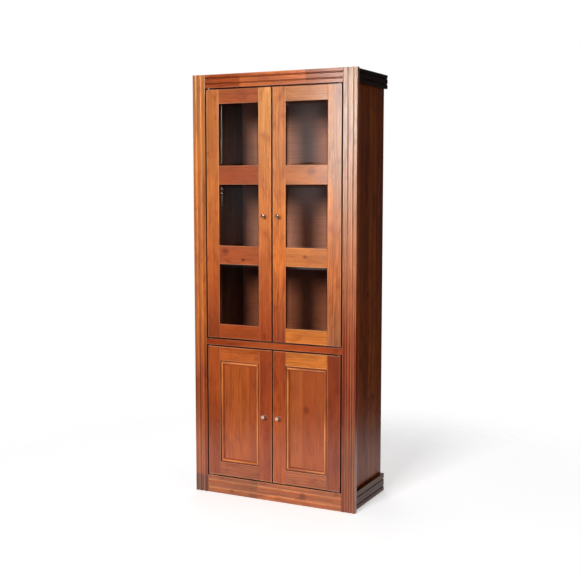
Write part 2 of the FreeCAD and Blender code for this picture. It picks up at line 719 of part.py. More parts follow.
os.makedirs("parts", exist_ok=True)
for name, solids in carcass().items():
    export(name, solids)
for level, pieces in (("upper", upper_door()), ("lower", lower_door())):
    for name, solids in pieces.items():
        export(f"{level}_right_door_{name}", solids)
        export(f"{level}_left_door_{name}", [mirrored(solid) for solid in solids])
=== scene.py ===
import math
import bmesh
import bpy
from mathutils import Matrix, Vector


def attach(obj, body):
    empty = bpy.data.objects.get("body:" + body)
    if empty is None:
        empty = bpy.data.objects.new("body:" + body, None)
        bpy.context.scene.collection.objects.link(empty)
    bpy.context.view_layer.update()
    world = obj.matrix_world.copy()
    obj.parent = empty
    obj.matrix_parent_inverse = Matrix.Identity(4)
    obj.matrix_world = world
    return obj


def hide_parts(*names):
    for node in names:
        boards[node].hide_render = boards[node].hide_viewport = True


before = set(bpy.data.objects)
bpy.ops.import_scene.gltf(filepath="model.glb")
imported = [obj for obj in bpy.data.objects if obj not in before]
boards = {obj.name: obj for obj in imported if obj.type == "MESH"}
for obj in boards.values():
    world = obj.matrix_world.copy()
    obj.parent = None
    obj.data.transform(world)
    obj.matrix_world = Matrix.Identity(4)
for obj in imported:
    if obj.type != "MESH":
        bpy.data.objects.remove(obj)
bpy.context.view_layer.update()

# The view: a long lens at chest height, to the right of the bookcase and well back from it,
# so that the whole front and a narrow slice of the right side show.
VIEW_PLACE = (2.0582, -4.1278, 1.4162)
VIEW_DOWN = math.radians(5.923)
VIEW_LEFT = math.radians(26.498)
VIEW_LENS = 63.253
FILM_WIDTH = 36.0

view_lens = bpy.data.cameras.new("view")
view_lens.lens = VIEW_LENS
view_lens.sensor_width = FILM_WIDTH
viewer = bpy.data.objects.new("view", view_lens)
viewer.location = VIEW_PLACE
viewer.rotation_euler = (math.pi / 2 - VIEW_DOWN, 0, VIEW_LEFT)
bpy.context.scene.collection.objects.link(viewer)
bpy.context.scene.camera = viewer
bpy.context.scene.view_settings.view_transform = "Standard"


# The studio: a round sheet of pale paper on the floor, a white sweep far behind, and a dim room.
# Soft boxes stand in front, at the right, behind and overhead; each is a plain glowing rectangle.
# Cards to the left of the viewer give the lacquer and the glass their sheen.
FLOOR_RADIUS = 2.0
FLOOR_SIDES = 96
FLOOR_FULL = 0.9
FLOOR_DROP = 0.0006
FLOOR_WHITE = (0.86, 0.86, 0.86, 1)
FLOOR_LIFT = 0.45
SWEEP_EDGES = (0.80, 0.885)
ROOM_GLOW = 0.015
ROOM_LIGHT = (0.05, 0.05, 0.0515, 1)
WHITE = (1, 1, 1, 1)


class Finish:
    # Lays out the nodes of one finish; sockets and plain values may be fed alike.
    def __init__(self, name, owner=None):
        self.material = owner or bpy.data.materials.new(name)
        self.material.use_nodes = True
        self.tree = self.material.node_tree
        self.links = self.tree.links

    def feed(self, socket, value):
        if isinstance(value, bpy.types.NodeSocket):
            self.links.new(value, socket)
        else:
            socket.default_value = value

    def add(self, kind, *values, **settings):
        node = self.tree.nodes.new("ShaderNode" + kind)
        for name, value in settings.items():
            setattr(node, name, value)
        for socket, value in zip(node.inputs, values):
            self.feed(socket, value)
        return node

    def math(self, operation, *values, clamp=False):
        return self.add("Math", *values, operation=operation, use_clamp=clamp).outputs[0]

    def times(self, first, second):
        return self.math("MULTIPLY", first, second)

    def far(self, first, second):
        # The distance from the middle of a plane.
        return self.math("SQRT", self.math("ADD", self.times(first, first), self.times(second, second)))

    def place(self):
        coordinates = self.add("TexCoord").outputs["Object"]
        return self.add("SeparateXYZ", coordinates).outputs

    def point(self, *values):
        return self.add("CombineXYZ", *values).outputs[0]

    def facing(self):
        normal = self.add("TexCoord").outputs["Normal"]
        return self.add("SeparateXYZ", normal).outputs

    def noise(self, point, detail=2.0, scale=1.0, swirl=0.0):
        node = self.add("TexNoise")
        self.feed(node.inputs["Vector"], point)
        self.feed(node.inputs["Scale"], scale)
        self.feed(node.inputs["Detail"], detail)
        self.feed(node.inputs["Distortion"], swirl)
        return node.outputs["Fac"]

    def fade(self, value, start, end, low=0.0, high=1.0):
        return self.add("MapRange", value, start, end, low, high, interpolation_type="SMOOTHSTEP").outputs[0]

    def blend(self, share, first, second, mode="MIX"):
        node = self.add("Mix", data_type="RGBA", blend_type=mode)
        self.feed(node.inputs[0], share)
        self.feed(node.inputs[6], first)
        self.feed(node.inputs[7], second)
        return node.outputs[2]

    def shader(self, settings):
        node = self.tree.nodes["Principled BSDF"]
        for name, value in settings.items():
            self.feed(node.inputs[name], value)
        return node

    def relief(self, height, depth):
        node = self.add("Bump")
        self.feed(node.inputs["Height"], height)
        self.feed(node.inputs["Distance"], depth)
        return node.outputs["Normal"]

    def seen(self):
        # 1 for a ray from the camera, from a mirror or through glass.
        path = self.add("LightPath").outputs
        mirrored = self.math("ADD", path["Is Camera Ray"], path["Is Glossy Ray"])
        return self.math("ADD", mirrored, path["Is Transmission Ray"], clamp=True)


def soft_box(name, place, target, width, height, glow, feather=0.0, card=False):
    # A glowing rectangle, which dims towards its rim over the given share of its half width and height.
    # A card only shows mirrored in the lacquer and the glass.
    lamp = bpy.data.lights.new(name, "AREA")
    lamp.shape = "RECTANGLE"
    lamp.size = width
    lamp.size_y = height
    lamp.energy = math.pi * width * height * glow
    if feather:
        cloth = Finish(name, lamp)
        spread = cloth.add("SeparateXYZ", cloth.add("NewGeometry").outputs["Parametric"]).outputs
        from_sides = cloth.fade(cloth.math("PINGPONG", spread[0], 0.5), 0.0, feather / 2)
        from_ends = cloth.fade(cloth.math("PINGPONG", spread[1], 0.5), 0.0, feather / 2)
        cloth.feed(cloth.tree.nodes["Emission"].inputs["Strength"], cloth.times(from_sides, from_ends))
    holder = bpy.data.objects.new(name, lamp)
    holder.location = place
    holder.rotation_euler = (Vector(target) - Vector(place)).to_track_quat("-Z", "Y").to_euler()
    holder.visible_camera = False
    holder.visible_diffuse = not card
    holder.visible_transmission = not card
    bpy.context.scene.collection.objects.link(holder)


def piece(name, form):
    # A new object at the origin, with its place in its mesh, from a form that is then freed.
    mesh = bpy.data.meshes.new(name)
    form.to_mesh(mesh)
    form.free()
    made = bpy.data.objects.new(name, mesh)
    bpy.context.scene.collection.objects.link(made)
    return made


floor_form = bmesh.new()
bmesh.ops.create_circle(floor_form, cap_ends=True, segments=FLOOR_SIDES, radius=FLOOR_RADIUS)
bmesh.ops.translate(floor_form, verts=floor_form.verts, vec=(0, 0, -FLOOR_DROP))
floor = piece("floor", floor_form)

paper = Finish("floor_paper")
floor_x, floor_y, _ = paper.place()
paper_matt = paper.add("BsdfDiffuse", FLOOR_WHITE).outputs[0]
paper_lift = paper.add("Emission", WHITE, paper.times(paper.seen(), FLOOR_LIFT)).outputs[0]
paper_lit = paper.add("AddShader", paper_matt, paper_lift).outputs[0]
paper_end = paper.fade(paper.far(floor_x, floor_y), FLOOR_FULL, FLOOR_RADIUS)
paper_mix = paper.add("MixShader", paper_end, paper_lit, paper.add("BsdfTransparent").outputs[0])
paper.links.new(paper_mix.outputs[0], paper.tree.nodes["Material Output"].inputs["Surface"])
floor.data.materials.append(paper.material)

room = Finish("room", bpy.data.worlds.new("room"))
bpy.context.scene.world = room.material
sweep_way = (-math.sin(VIEW_LEFT), math.cos(VIEW_LEFT), 0)
room_way = room.add("TexCoord").outputs["Generated"]
sweep_turn = room.add("VectorMath", room_way, sweep_way, operation="DOT_PRODUCT")
sweep_glow = room.fade(sweep_turn.outputs["Value"], *SWEEP_EDGES, ROOM_GLOW, 1.0)
room_clear = room.add("LightPath").outputs["Is Camera Ray"]
room_dim = room.add("Background", ROOM_LIGHT).outputs[0]
room_seen = room.add("Background", WHITE, room.math("MAXIMUM", sweep_glow, room_clear)).outputs[0]
room_mix = room.add("MixShader", room.seen(), room_dim, room_seen)
room.links.new(room_mix.outputs[0], room.tree.nodes["World Output"].inputs["Surface"])

soft_box("key_box", (0.1, -6.0, 3.1), (0, 0, 1.0), 1.8, 1.8, 38.0)
soft_box("side_box", (4.2, 0.7, 1.7), (0.37, 0.02, 1.0), 1.6, 2.0, 2.0)
soft_box("gloss_box", (-2.27, -6.2, 2.1), (0, 0, 1.6), 0.38, 3.5, 40.0, 1.0, card=True)
soft_box("left_box", (-6.02, -6.00, 1.9), (0, -0.17, 1.4), 0.50, 1.7, 9.0, 0.3, card=True)
soft_box("haze_box", (-2.72, -6.25, 1.75), (0, 0, 1.3), 0.66, 1.8, 1.6, 1.0, card=True)
soft_box("veil_box", (-3.46, -6.20, 1.45), (0, 0, 1.3), 0.90, 2.3, 0.34, 0.9, card=True)
soft_box("rear_box", (-1.6, 3.0, 2.2), (0, 0, 1.0), 1.6, 1.6, 2.4)
soft_box("overhead_box", (-0.4, 0.6, 4.0), (-0.4, 0.6, 0), 2.6, 2.6, 1.6)


# The side panels: pine boards glued edge to edge, stained chestnut and lacquered, with the grain upright.
# Each is rebated for the back, bored for dowels and shelf pins, and stands on the floor.
LATEWOOD = (0.46, 0.29, 0.22, 1)
FIBRE_SHADE = (0.62, 0.50, 0.42, 1)
STREAK_SHADE = (0.66, 0.52, 0.44, 1)
RED_MOTTLE = (0.66, 0.47, 0.38, 1)
GOLD_MOTTLE = (1.20, 1.26, 1.20, 1)
KNOT_HEART = (0.060, 0.018, 0.008, 1)
KNOT_HALO = (0.42, 0.26, 0.20, 1)
KNOT_SQUASH = 0.75
# The next five values lay painted shade in the gaps: edge faces that the gaps hide, and thin lines beside the
# gaps, are multiplied darker.
EDGE_SHADE_TINT = (0.160, 0.026, 0.010, 1)
EDGE_REACH = (0.0022, 0.0034)
EDGE_SHADE = 0.97
LINE_REACH = (0.0009, 0.0028)
LINE_SHADE = 0.9
WARM_STAIN = (1.18, 1.13, 0.92, 1)
# How far from a corner the pale wear reaches, which is also a painted highlight.
WEAR_HIGHLIGHT_REACH = (0.0012, 0.0052)
FINGER_PITCH = 0.004
FINGER_LENGTH = 0.009
JOINT_WIDTH = 0.0004
STAIN_BEFORE = 0.01
STAIN_AFTER = 0.5
SEED_MIX = (7.3, 3.1, 0.21)
SEED_STEP = 0.618
BLOCK_SHIFT = 9.0
HEART_SPREAD = 0.16
RIPPLE_DEPTH = 0.005
LATE_CURVE = ((0.40, 0.16), (0.72, 0.80), (0.88, 1.0), (0.97, 0.35))
GRAIN_RELIEF = 0.00016
WOOD_SPECULAR = 0.16
LACQUER_WEIGHT = 0.9
LACQUER_ROUGHNESS = 0.16
LACQUER_IOR = 1.5


def stain(red, green, blue):
    # A colour as it looks, from 0 to 255, as light.
    def light(value):
        share = value / 255
        return share / 12.92 if share <= 0.04045 else ((share + 0.055) / 1.055) ** 2.4
    return (light(red), light(green), light(blue), 1)


# The pale colour of rubbed corners and flute rims, partly wear and partly a painted highlight.
WORN_EDGE_HIGHLIGHT = stain(228, 186, 152)


def at(axis, *places):
    return [(axis, place) for place in places]


def stained_pine(name, grain, face, blocks, staves=None, joints=(), heart=(0.0, 0.05), knots=(),
                 ring_gap=0.0042, ring_depth=0.75, bends=(1.5, 0.07), mottle=1.0, wear_highlight=0.0, edges=(), rims=(),
                 shaded_lines=(), painted_light_bands=None, crest=None, turned=None, gloss=1.0):
    # blocks are (place, stain) along the grain, which run into each other except at the joints,
    # or from one stave to the next along the axis staves.
    # heart is where the heart of the tree lies: across the grain, and behind the face.
    # knots are (along the grain, across it, radius, darkness).
    # edges are (axis, place) of the board's corners and rims those of its flutes, all rubbed pale, partly
    # wear and partly a painted highlight; the faces at the edges that the gaps hide also get painted shade.
    # The lined corners get a thin dark line of painted shade beside the gap.
    # bands are (axis, middles, half width, tint): painted light or shade multiplied over the flutes or
    # another strip.
    # crest is (y low, y high, stain, share): the rounded crest rubbed pale, partly wear and partly a painted
    # highlight.
    finish = Finish(name)
    axes = dict(zip("XYZ", finish.place()))
    across = (set("XYZ") - {grain, face}).pop()
    along, side, deep = axes[grain], axes[across], axes[face]
    if turned:
        lying = finish.add("Attribute", attribute_name=turned).outputs["Fac"]
        swap = finish.add("Mix", data_type="FLOAT")
        back = finish.add("Mix", data_type="FLOAT")
        for node, first, second in ((swap, along, side), (back, side, along)):
            finish.feed(node.inputs[0], lying)
            finish.feed(node.inputs[2], first)
            finish.feed(node.inputs[3], second)
        along, side = swap.outputs[0], back.outputs[0]

    # The stain, with small teeth where two lengths are finger jointed.
    cut = axes[staves or grain]
    if joints:
        teeth = finish.math("PINGPONG", side, FINGER_PITCH)
        cut = finish.math("MULTIPLY_ADD", teeth, FINGER_LENGTH / FINGER_PITCH, along)
    low = blocks[0][0] - STAIN_BEFORE
    high = blocks[-1][0] + STAIN_AFTER
    ramp = finish.add("ValToRGB", finish.add("MapRange", cut, low, high).outputs[0])
    steps = ramp.color_ramp.elements
    steps.remove(steps[1])
    seed = (heart[0] * SEED_MIX[0] + heart[1] * SEED_MIX[1] + SEED_MIX[2]) % 1.0
    steps[0].position = 0.0
    steps[0].color = blocks[0][1][:3] + (seed,)
    for (_, last), (start, tint) in zip(blocks, blocks[1:]):
        if staves or start in joints:
            steps.new((start - JOINT_WIDTH - low) / (high - low)).color = last[:3] + (seed,)
            seed = (seed + SEED_STEP) % 1.0
        steps.new((start - low) / (high - low)).color = tint[:3] + (seed,)
    block_seed = ramp.outputs["Alpha"]

    # Year rings: bent shells round the heart of the tree, which each block was sawn through elsewhere.
    shift = finish.times(block_seed, BLOCK_SHIFT)

    def pattern(lengthwise, crosswise, detail, swirl=0.0):
        return finish.noise(finish.point(finish.math("MULTIPLY_ADD", along, lengthwise, shift),
                                         finish.times(side, crosswise),
                                         finish.times(deep, crosswise)), detail, 1.0, swirl)

    bend = pattern(bends[0], 7.0, 1.0)
    ripple = pattern(7.0, 60.0, 1.0)
    off_heart = finish.math("MULTIPLY_ADD", block_seed, HEART_SPREAD, -HEART_SPREAD / 2 - heart[0])
    from_heart = finish.math("ADD", finish.math("MULTIPLY_ADD", bend, bends[1], side), off_heart)
    from_depth = finish.math("ADD", deep, heart[1])
    ring = finish.math("MULTIPLY_ADD", ripple, RIPPLE_DEPTH, finish.far(from_heart, from_depth))

    # Knots push the rings aside and darken towards the middle.
    knot_heart = None
    knot_halo = None
    for knot_along, knot_side, radius, darkness in knots:
        reach = finish.far(finish.times(finish.math("SUBTRACT", along, knot_along), KNOT_SQUASH),
                           finish.math("SUBTRACT", side, knot_side))
        reach = finish.math("MULTIPLY_ADD", ripple, radius * 0.5, reach)
        ring = finish.math("ADD", ring, finish.fade(reach, 0.0, radius * 5.0, radius * 1.7, 0.0))
        heart_share = finish.fade(reach, radius * 0.9, radius * 1.45, darkness, 0.0)
        halo_share = finish.fade(reach, radius * 1.2, radius * 3.2, 0.55, 0.0)
        knot_heart = heart_share if knot_heart is None else finish.math("MAXIMUM", knot_heart, heart_share)
        knot_halo = halo_share if knot_halo is None else finish.math("MAXIMUM", knot_halo, halo_share)

    year = finish.math("FRACT", finish.math("DIVIDE", ring, ring_gap))
    late = finish.add("ValToRGB", year)
    late_steps = late.color_ramp.elements
    late_steps[0].color = (0, 0, 0, 1)
    late_steps[1].color = (0, 0, 0, 1)
    for spot, value in LATE_CURVE:
        late_steps.new(spot).color = (value, value, value, 1)
    late = late.outputs["Color"]
    strength = finish.fade(bend, 0.25, 0.75, ring_depth * 0.45, ring_depth)

    # The stain takes unevenly: streaks along the grain, red and golden patches, and broad clouds.
    fibre = pattern(12.0, 620.0, 3.0)
    streak = pattern(2.6, 150.0, 3.0)
    patch = pattern(12.0, 34.0, 3.0, 0.9)
    cloud = pattern(3.6, 17.0, 2.0)
    colour = ramp.outputs["Color"]
    for share, tint in ((finish.times(late, strength), LATEWOOD),
                        (finish.fade(fibre, 0.35, 0.75, 0.0, 0.38), FIBRE_SHADE),
                        (finish.fade(streak, 0.46, 0.72, 0.0, 0.70 * mottle), STREAK_SHADE),
                        (finish.fade(patch, 0.50, 0.72, 0.0, 0.80 * mottle), RED_MOTTLE),
                        (finish.fade(patch, 0.28, 0.46, 0.85 * mottle, 0.0), GOLD_MOTTLE)):
        colour = finish.blend(share, colour, tint, "MULTIPLY")
    if knots:
        colour = finish.blend(knot_halo, colour, KNOT_HALO, "MULTIPLY")
        colour = finish.blend(knot_heart, colour, KNOT_HEART)

    # The bands lay painted light or shade on flutes and strips; the crests and corners are rubbed pale,
    # partly wear and partly a painted highlight;
    # and the edge faces that the gaps hide, with thin lines beside the gaps, are darkened as painted shade.
    def nearest(places):
        near = None
        for axis, spot in places:
            apart = finish.math("ABSOLUTE", finish.math("SUBTRACT", axes[axis], spot))
            near = apart if near is None else finish.math("MINIMUM", near, apart)
        return near

    # Painted light or shade: a tint multiplied over the flutes or another strip.
    if painted_light_bands:
        band_axis, middles, half, painted_light_tint = painted_light_bands
        in_band = finish.fade(nearest(at(band_axis, *middles)), half * 0.6, half * 1.1, 1.0, 0.0)
        colour = finish.blend(in_band, colour, painted_light_tint, "MULTIPLY")
    # The crest is rubbed pale, partly wear and partly a painted highlight.
    if crest:
        crest_low, crest_high, crest_highlight_stain, share = crest
        crest_wear_highlight = finish.times(finish.fade(deep, crest_low, crest_high, 0.0, share),
                                  finish.fade(cloud, 0.35, 0.65, 0.35, 1.0))
        colour = finish.blend(crest_wear_highlight, colour, crest_highlight_stain)
    squareness = finish.math("ABSOLUTE", dict(zip("XYZ", finish.facing()))[face])
    # Rubbed pale wear, partly a painted highlight, on the front face near the corners and flute rims.
    if wear_highlight:
        rubbed_highlight = finish.fade(nearest(list(edges) + list(rims)), *WEAR_HIGHLIGHT_REACH, wear_highlight, 0.0)
        rubbed_highlight = finish.times(rubbed_highlight, finish.fade(streak, 0.30, 0.60, 1.0, 0.55))
        rubbed_highlight = finish.times(rubbed_highlight, finish.fade(squareness, 0.70, 0.95))
        colour = finish.blend(rubbed_highlight, colour, WORN_EDGE_HIGHLIGHT)
    # Painted shade: the edge faces near the corners, and thin lines beside the gaps, are darkened.
    if edges:
        gap_shade = finish.times(finish.fade(nearest(edges), *EDGE_REACH, EDGE_SHADE, 0.0),
                              finish.fade(squareness, 0.60, 0.96, 1.0, 0.0))
        if shaded_lines:
            gap_shade = finish.math("MAXIMUM", gap_shade, finish.fade(nearest(shaded_lines), *LINE_REACH, LINE_SHADE, 0.0))
        colour = finish.blend(gap_shade, colour, EDGE_SHADE_TINT, "MULTIPLY")

    shade = finish.fade(cloud, 0.25, 0.75, 0.86, 1.16)
    tinted = finish.add("VectorMath", finish.blend(1.0, colour, WARM_STAIN, "MULTIPLY"), operation="SCALE")
    finish.feed(tinted.inputs["Scale"], shade)
    height = finish.math("MULTIPLY_ADD", late, -0.5, finish.times(fibre, 0.6))
    finish.shader({
        "Base Color": tinted.outputs[0],
        "Roughness": finish.fade(fibre, 0.2, 0.8, 0.36, 0.46),
        "Specular IOR Level": WOOD_SPECULAR,
        "Coat Weight": LACQUER_WEIGHT * gloss,
        "Coat Roughness": LACQUER_ROUGHNESS,
        "Coat IOR": LACQUER_IOR,
        "Normal": finish.relief(height, GRAIN_RELIEF),
    })
    return finish.material


def dress(node, material):
    board = boards[node]
    board.data.materials.clear()
    board.data.materials.append(material)


SIDE_STAVES = [(-0.160, stain(158, 71, 7)), (-0.062, stain(135, 60, 8)), (0.031, stain(152, 76, 13)),
               (0.118, stain(133, 62, 10))]
# Painted shade: the inside faces of the side panels are tinted darker and cooler.
SIDE_INSIDE_PAINTED_SHADE = ("X", (-0.351, 0.351), 0.004, (0.40, 0.62, 1.50, 1))
SIDE_KNOTS = [(0.46, 0.10, 0.008, 0.8), (1.24, -0.09, 0.006, 0.8), (0.93, 0.03, 0.007, 0.8)]
side_pine = stained_pine("side_panel_pine", "Z", "X", SIDE_STAVES, "Y", heart=(0.02, 0.42), ring_gap=0.009,
                         ring_depth=0.9, knots=SIDE_KNOTS, mottle=1.3, painted_light_bands=SIDE_INSIDE_PAINTED_SHADE, gloss=0.1)
for node in ("left_side_panel", "right_side_panel"):
    dress(node, side_pine)


# The top, the floor of the cupboard, the fixed shelf between the two pairs of doors, and the rails
# behind the frieze and at the back of the plinth: stained pine boards, dowelled between the sides.
LEVEL_STAVES = [(-0.160, stain(118, 56, 26)), (-0.070, stain(108, 48, 22)), (0.020, stain(124, 60, 28)),
                (0.110, stain(112, 52, 24))]
level_pine = stained_pine("level_board_pine", "X", "Z", LEVEL_STAVES, "Y", heart=(0.03, -0.3),
                          knots=[(0.16, -0.05, 0.007, 0.8), (-0.21, 0.12, 0.006, 0.8)])
for node in ("top_panel", "bottom_panel", "fixed_shelf"):
    dress(node, level_pine)
RAW_STAINS = [(-0.36, stain(176, 118, 70)), (-0.04, stain(164, 104, 58))]
rail_pine = stained_pine("hidden_rail_pine", "X", "Y", RAW_STAINS, heart=(0.03, -0.12), gloss=0.2)
for node in ("frieze_backing_rail", "rear_plinth_rail", "glue_blocks"):
    dress(node, rail_pine)


# The dowels: turned beech pins, pale and dry, which no lacquer reaches.
# Each is glued half into a side panel and half into the end of a board.
DOWEL_STAIN = [(-0.4, stain(206, 172, 128))]
dowel_beech = stained_pine("dowel_beech", "X", "Y", DOWEL_STAIN, heart=(0.2, 0.1), ring_depth=0.2, gloss=0.0)
dress("carcass_dowels", dowel_beech)


# The back: one sheet of thin plywood, stained, let into the rebates of the sides and screwed on.
# Its faces are plain veneer with fine level grain, and its edges show the plies.
PLY_LIGHT = stain(218, 149, 122)
PLY_DARK = stain(190, 123, 98)
# Painted shade: the inside face of the back is darkened low down, fading out between 1.02 m and 1.16 m.
PLY_PAINTED_SHADE = (0.64, 0.46, 0.34, 1)
PLY_SHADE_HEIGHTS = (1.02, 1.16)
PLY_COUNT = 5
PLY_DEPTH = 0.006
VENEER_CLOUD = (3.0, 9.0)
VENEER_HAIR = (9.0, 420.0)
VENEER_SPECULAR = 0.08
VENEER_RELIEF = 0.0001
ply = Finish("back_plywood")
ply_x, ply_y, ply_z = ply.place()
ply_cloud, ply_hair = (ply.noise(ply.point(ply.times(ply_x, wide), ply_y, ply.times(ply_z, high)), 3.0)
                       for wide, high in (VENEER_CLOUD, VENEER_HAIR))
ply_share = ply.math("ADD", ply.fade(ply_hair, 0.35, 0.70, 0.0, 0.55),
                     ply.fade(ply_cloud, 0.35, 0.70, 0.0, 0.40))
ply_sheet = ply.math("FRACT", ply.times(ply_y, PLY_COUNT / PLY_DEPTH / 2))
ply_facing = ply.facing()[1]
ply_edge = ply.fade(ply.math("ABSOLUTE", ply_facing), 0.3, 0.7, 0.55, 0.0)
ply_plies = ply.times(ply.math("GREATER_THAN", ply_sheet, 0.5), ply_edge)
ply_colour = ply.blend(ply.math("ADD", ply_share, ply_plies, clamp=True), PLY_LIGHT, PLY_DARK)
# Painted shade on the inside face, below about 1.1 m.
ply_inside = ply.fade(ply_facing, -0.7, -0.3, 1.0, 0.0)
ply_painted_shade = ply.times(ply_inside, ply.fade(ply_z, *PLY_SHADE_HEIGHTS, 1.0, 0.0))
ply_colour = ply.blend(ply_painted_shade, ply_colour, PLY_PAINTED_SHADE, "MULTIPLY")
ply.shader({
    "Base Color": ply_colour,
    "Roughness": ply.fade(ply_hair, 0.2, 0.8, 0.42, 0.58),
    "Specular IOR Level": VENEER_SPECULAR,
    "Normal": ply.relief(ply_hair, VENEER_RELIEF),
})
dress("back_panel", ply.material)


# The pilasters: full-height posts of finger-jointed pine, with two round flutes run down the face.
# They are glued to the front edges of the side panels and carry the rails of the front frame.
POST_EDGES = (0.335, 0.400)
FLUTE_MIDDLES = (0.359, 0.3835)
FLUTE_HALF = 0.0042
# Painted light: the left post's flutes are lightened as a painted highlight, the right post's darkened as
# painted shade.
FLUTE_PAINTED_LIGHT = {"left": (1.50, 1.62, 1.70, 1), "right": (0.94, 0.90, 0.88, 1)}
# The posts' stains also hold painted light: both grow lighter towards the top, the right one paler and greyer
# there as a painted sheen.
POST_STAINS_AND_LIGHT = {
    "left": [(0.0, stain(96, 38, 23)), (0.085, stain(143, 58, 20)), (0.30, stain(137, 55, 7)),
             (0.54, stain(129, 49, 15)), (0.86, stain(183, 99, 35)), (1.17, stain(179, 95, 34)),
             (1.57, stain(184, 111, 47))],
    "right": [(0.0, stain(130, 54, 21)), (0.385, stain(129, 42, 6)), (0.74, stain(136, 46, 6)),
              (1.10, stain(184, 111, 75)), (1.43, stain(175, 113, 79)), (1.64, stain(171, 129, 112)),
              (1.745, stain(166, 130, 116)), (1.75, stain(171, 131, 110))],
}
POST_JOINTS = {"left": (0.085, 0.54), "right": (0.385, 1.745)}
# The share of pale wear and painted highlight on the posts' corners and flute rims.
POST_WEAR_HIGHLIGHT = 0.24
SIDES = (("left", -1), ("right", 1))
for side, sign in SIDES:
    middles = [sign * middle for middle in FLUTE_MIDDLES]
    flute_rims = [middle + way * FLUTE_HALF for middle in middles for way in (-1, 1)]
    inner_edge = at("X", sign * POST_EDGES[0])
    dress(f"{side}_pilaster", stained_pine(
        f"{side}_pilaster_pine", "Z", "Y", POST_STAINS_AND_LIGHT[side], joints=POST_JOINTS[side],
        heart=(sign * 0.43, 0.22), mottle=0.7, wear_highlight=POST_WEAR_HIGHLIGHT, edges=inner_edge, shaded_lines=inner_edge,
        rims=at("X", sign * POST_EDGES[1], *flute_rims), painted_light_bands=("X", middles, FLUTE_HALF, FLUTE_PAINTED_LIGHT[side])))


# The front frame's rails: a fluted frieze at the top, a plain rail between the doors and a fluted plinth,
# all finger-jointed pine, glued between the pilasters.
# The share of pale wear and painted highlight on the rails' corners.
FRAME_WEAR_HIGHLIGHT = 0.30
FRIEZE_EDGE = at("Z", 1.839)
FRIEZE_TOP = at("Z", 1.900)
# Painted shade: the frieze's flutes are darkened.
FRIEZE_FLUTE_SHADE = ("Z", (1.859, 1.8835), FLUTE_HALF, (0.56, 0.50, 0.46, 1))
MIDDLE_EDGES = at("Z", 0.689, 0.719)
PLINTH_EDGE = at("Z", 0.082)
PLINTH_RIMS = at("Z", 0.0248, 0.0598)
# Painted light: the plinth's flutes are lightened, as by light off the floor.
PLINTH_FLUTE_LIGHT = ("Z", (0.021, 0.056), FLUTE_HALF, (1.55, 1.68, 1.75, 1))
frieze_pine = stained_pine("frieze_pine", "X", "Y", [
    (-0.335, stain(159, 70, 7)), (-0.155, stain(192, 101, 45)), (0.165, stain(165, 83, 20))],
    joints=(-0.155, 0.165), heart=(1.83, 0.22), wear_highlight=FRAME_WEAR_HIGHLIGHT, edges=FRIEZE_EDGE, shaded_lines=FRIEZE_EDGE,
    rims=FRIEZE_TOP, painted_light_bands=FRIEZE_FLUTE_SHADE)
middle_pine = stained_pine("middle_rail_pine", "X", "Y", [
    (-0.335, stain(142, 50, 8)), (-0.06, stain(164, 76, 30)), (0.20, stain(175, 76, 27))],
    heart=(0.75, 0.20), wear_highlight=FRAME_WEAR_HIGHLIGHT, edges=MIDDLE_EDGES, shaded_lines=MIDDLE_EDGES)
plinth_pine = stained_pine("plinth_pine", "X", "Y", [
    (-0.335, stain(154, 87, 52)), (-0.115, stain(142, 80, 50)), (-0.07, stain(174, 99, 58)),
    (0.26, stain(168, 95, 56))], joints=(-0.115, -0.07), heart=(0.0, 0.21), wear_highlight=FRAME_WEAR_HIGHLIGHT,
    knots=[(0.15, 0.042, 0.007, 0.35), (-0.21, 0.018, 0.005, 0.35)], edges=PLINTH_EDGE, rims=PLINTH_RIMS,
    painted_light_bands=PLINTH_FLUTE_LIGHT)
dress("frieze_rail", frieze_pine)
dress("middle_rail", middle_pine)
dress("plinth_front", plinth_pine)


# The side strips: short fluted lengths glued to the side panels, which carry the lines of the frieze
# and the plinth round to the back. They are stained darker than the rest.
STRIP_STAINS = {"cornice_strips": (stain(44, 20, 9), stain(38, 17, 8), 0.0),
                "plinth_strips": (stain(94, 50, 20), stain(84, 44, 17), 0.12)}
for node, (front_stain, rear_stain, gloss) in STRIP_STAINS.items():
    dress(node, stained_pine(f"{node}_pine", "Y", "X", [(-0.16, front_stain), (0.05, rear_stain)],
                             heart=(0.9, 0.45), gloss=gloss))


# The adjustable shelves: loose boards of glued pine, two above and one below.
# They lie on steel pins, which push into rows of holes in the side panels.
shelf_pine = stained_pine("shelf_pine", "X", "Z", LEVEL_STAVES, "Y", heart=(0.01, -1.2), ring_gap=0.005)
dress("adjustable_shelves", shelf_pine)

# The pins' steel is zinc plated, with fine rolling lines and some blotching of the plating.
ZINC = stain(190, 188, 182)
ZINC_DARK = tuple(value * 0.72 for value in ZINC[:3]) + (1,)
ROLLING_LINES = (200.0, 2400.0, 2400.0)
BLOTCHES = 160.0
zinc = Finish("zinc_steel")
zinc_place = zinc.place()
zinc_lines = zinc.noise(zinc.point(*[zinc.times(*pair) for pair in zip(zinc_place, ROLLING_LINES)]), 2.0)
zinc_blotch = zinc.noise(zinc.point(*zinc_place), 3.0, BLOTCHES)
zinc.shader({
    "Base Color": zinc.blend(zinc.fade(zinc_blotch, 0.3, 0.7), ZINC, ZINC_DARK),
    "Metallic": 1.0,
    "Roughness": zinc.fade(zinc_lines, 0.25, 0.75, 0.24, 0.40),
    "Normal": zinc.relief(zinc_lines, 0.00003),
})
zinc_steel = zinc.material
dress("shelf_pins", zinc_steel)


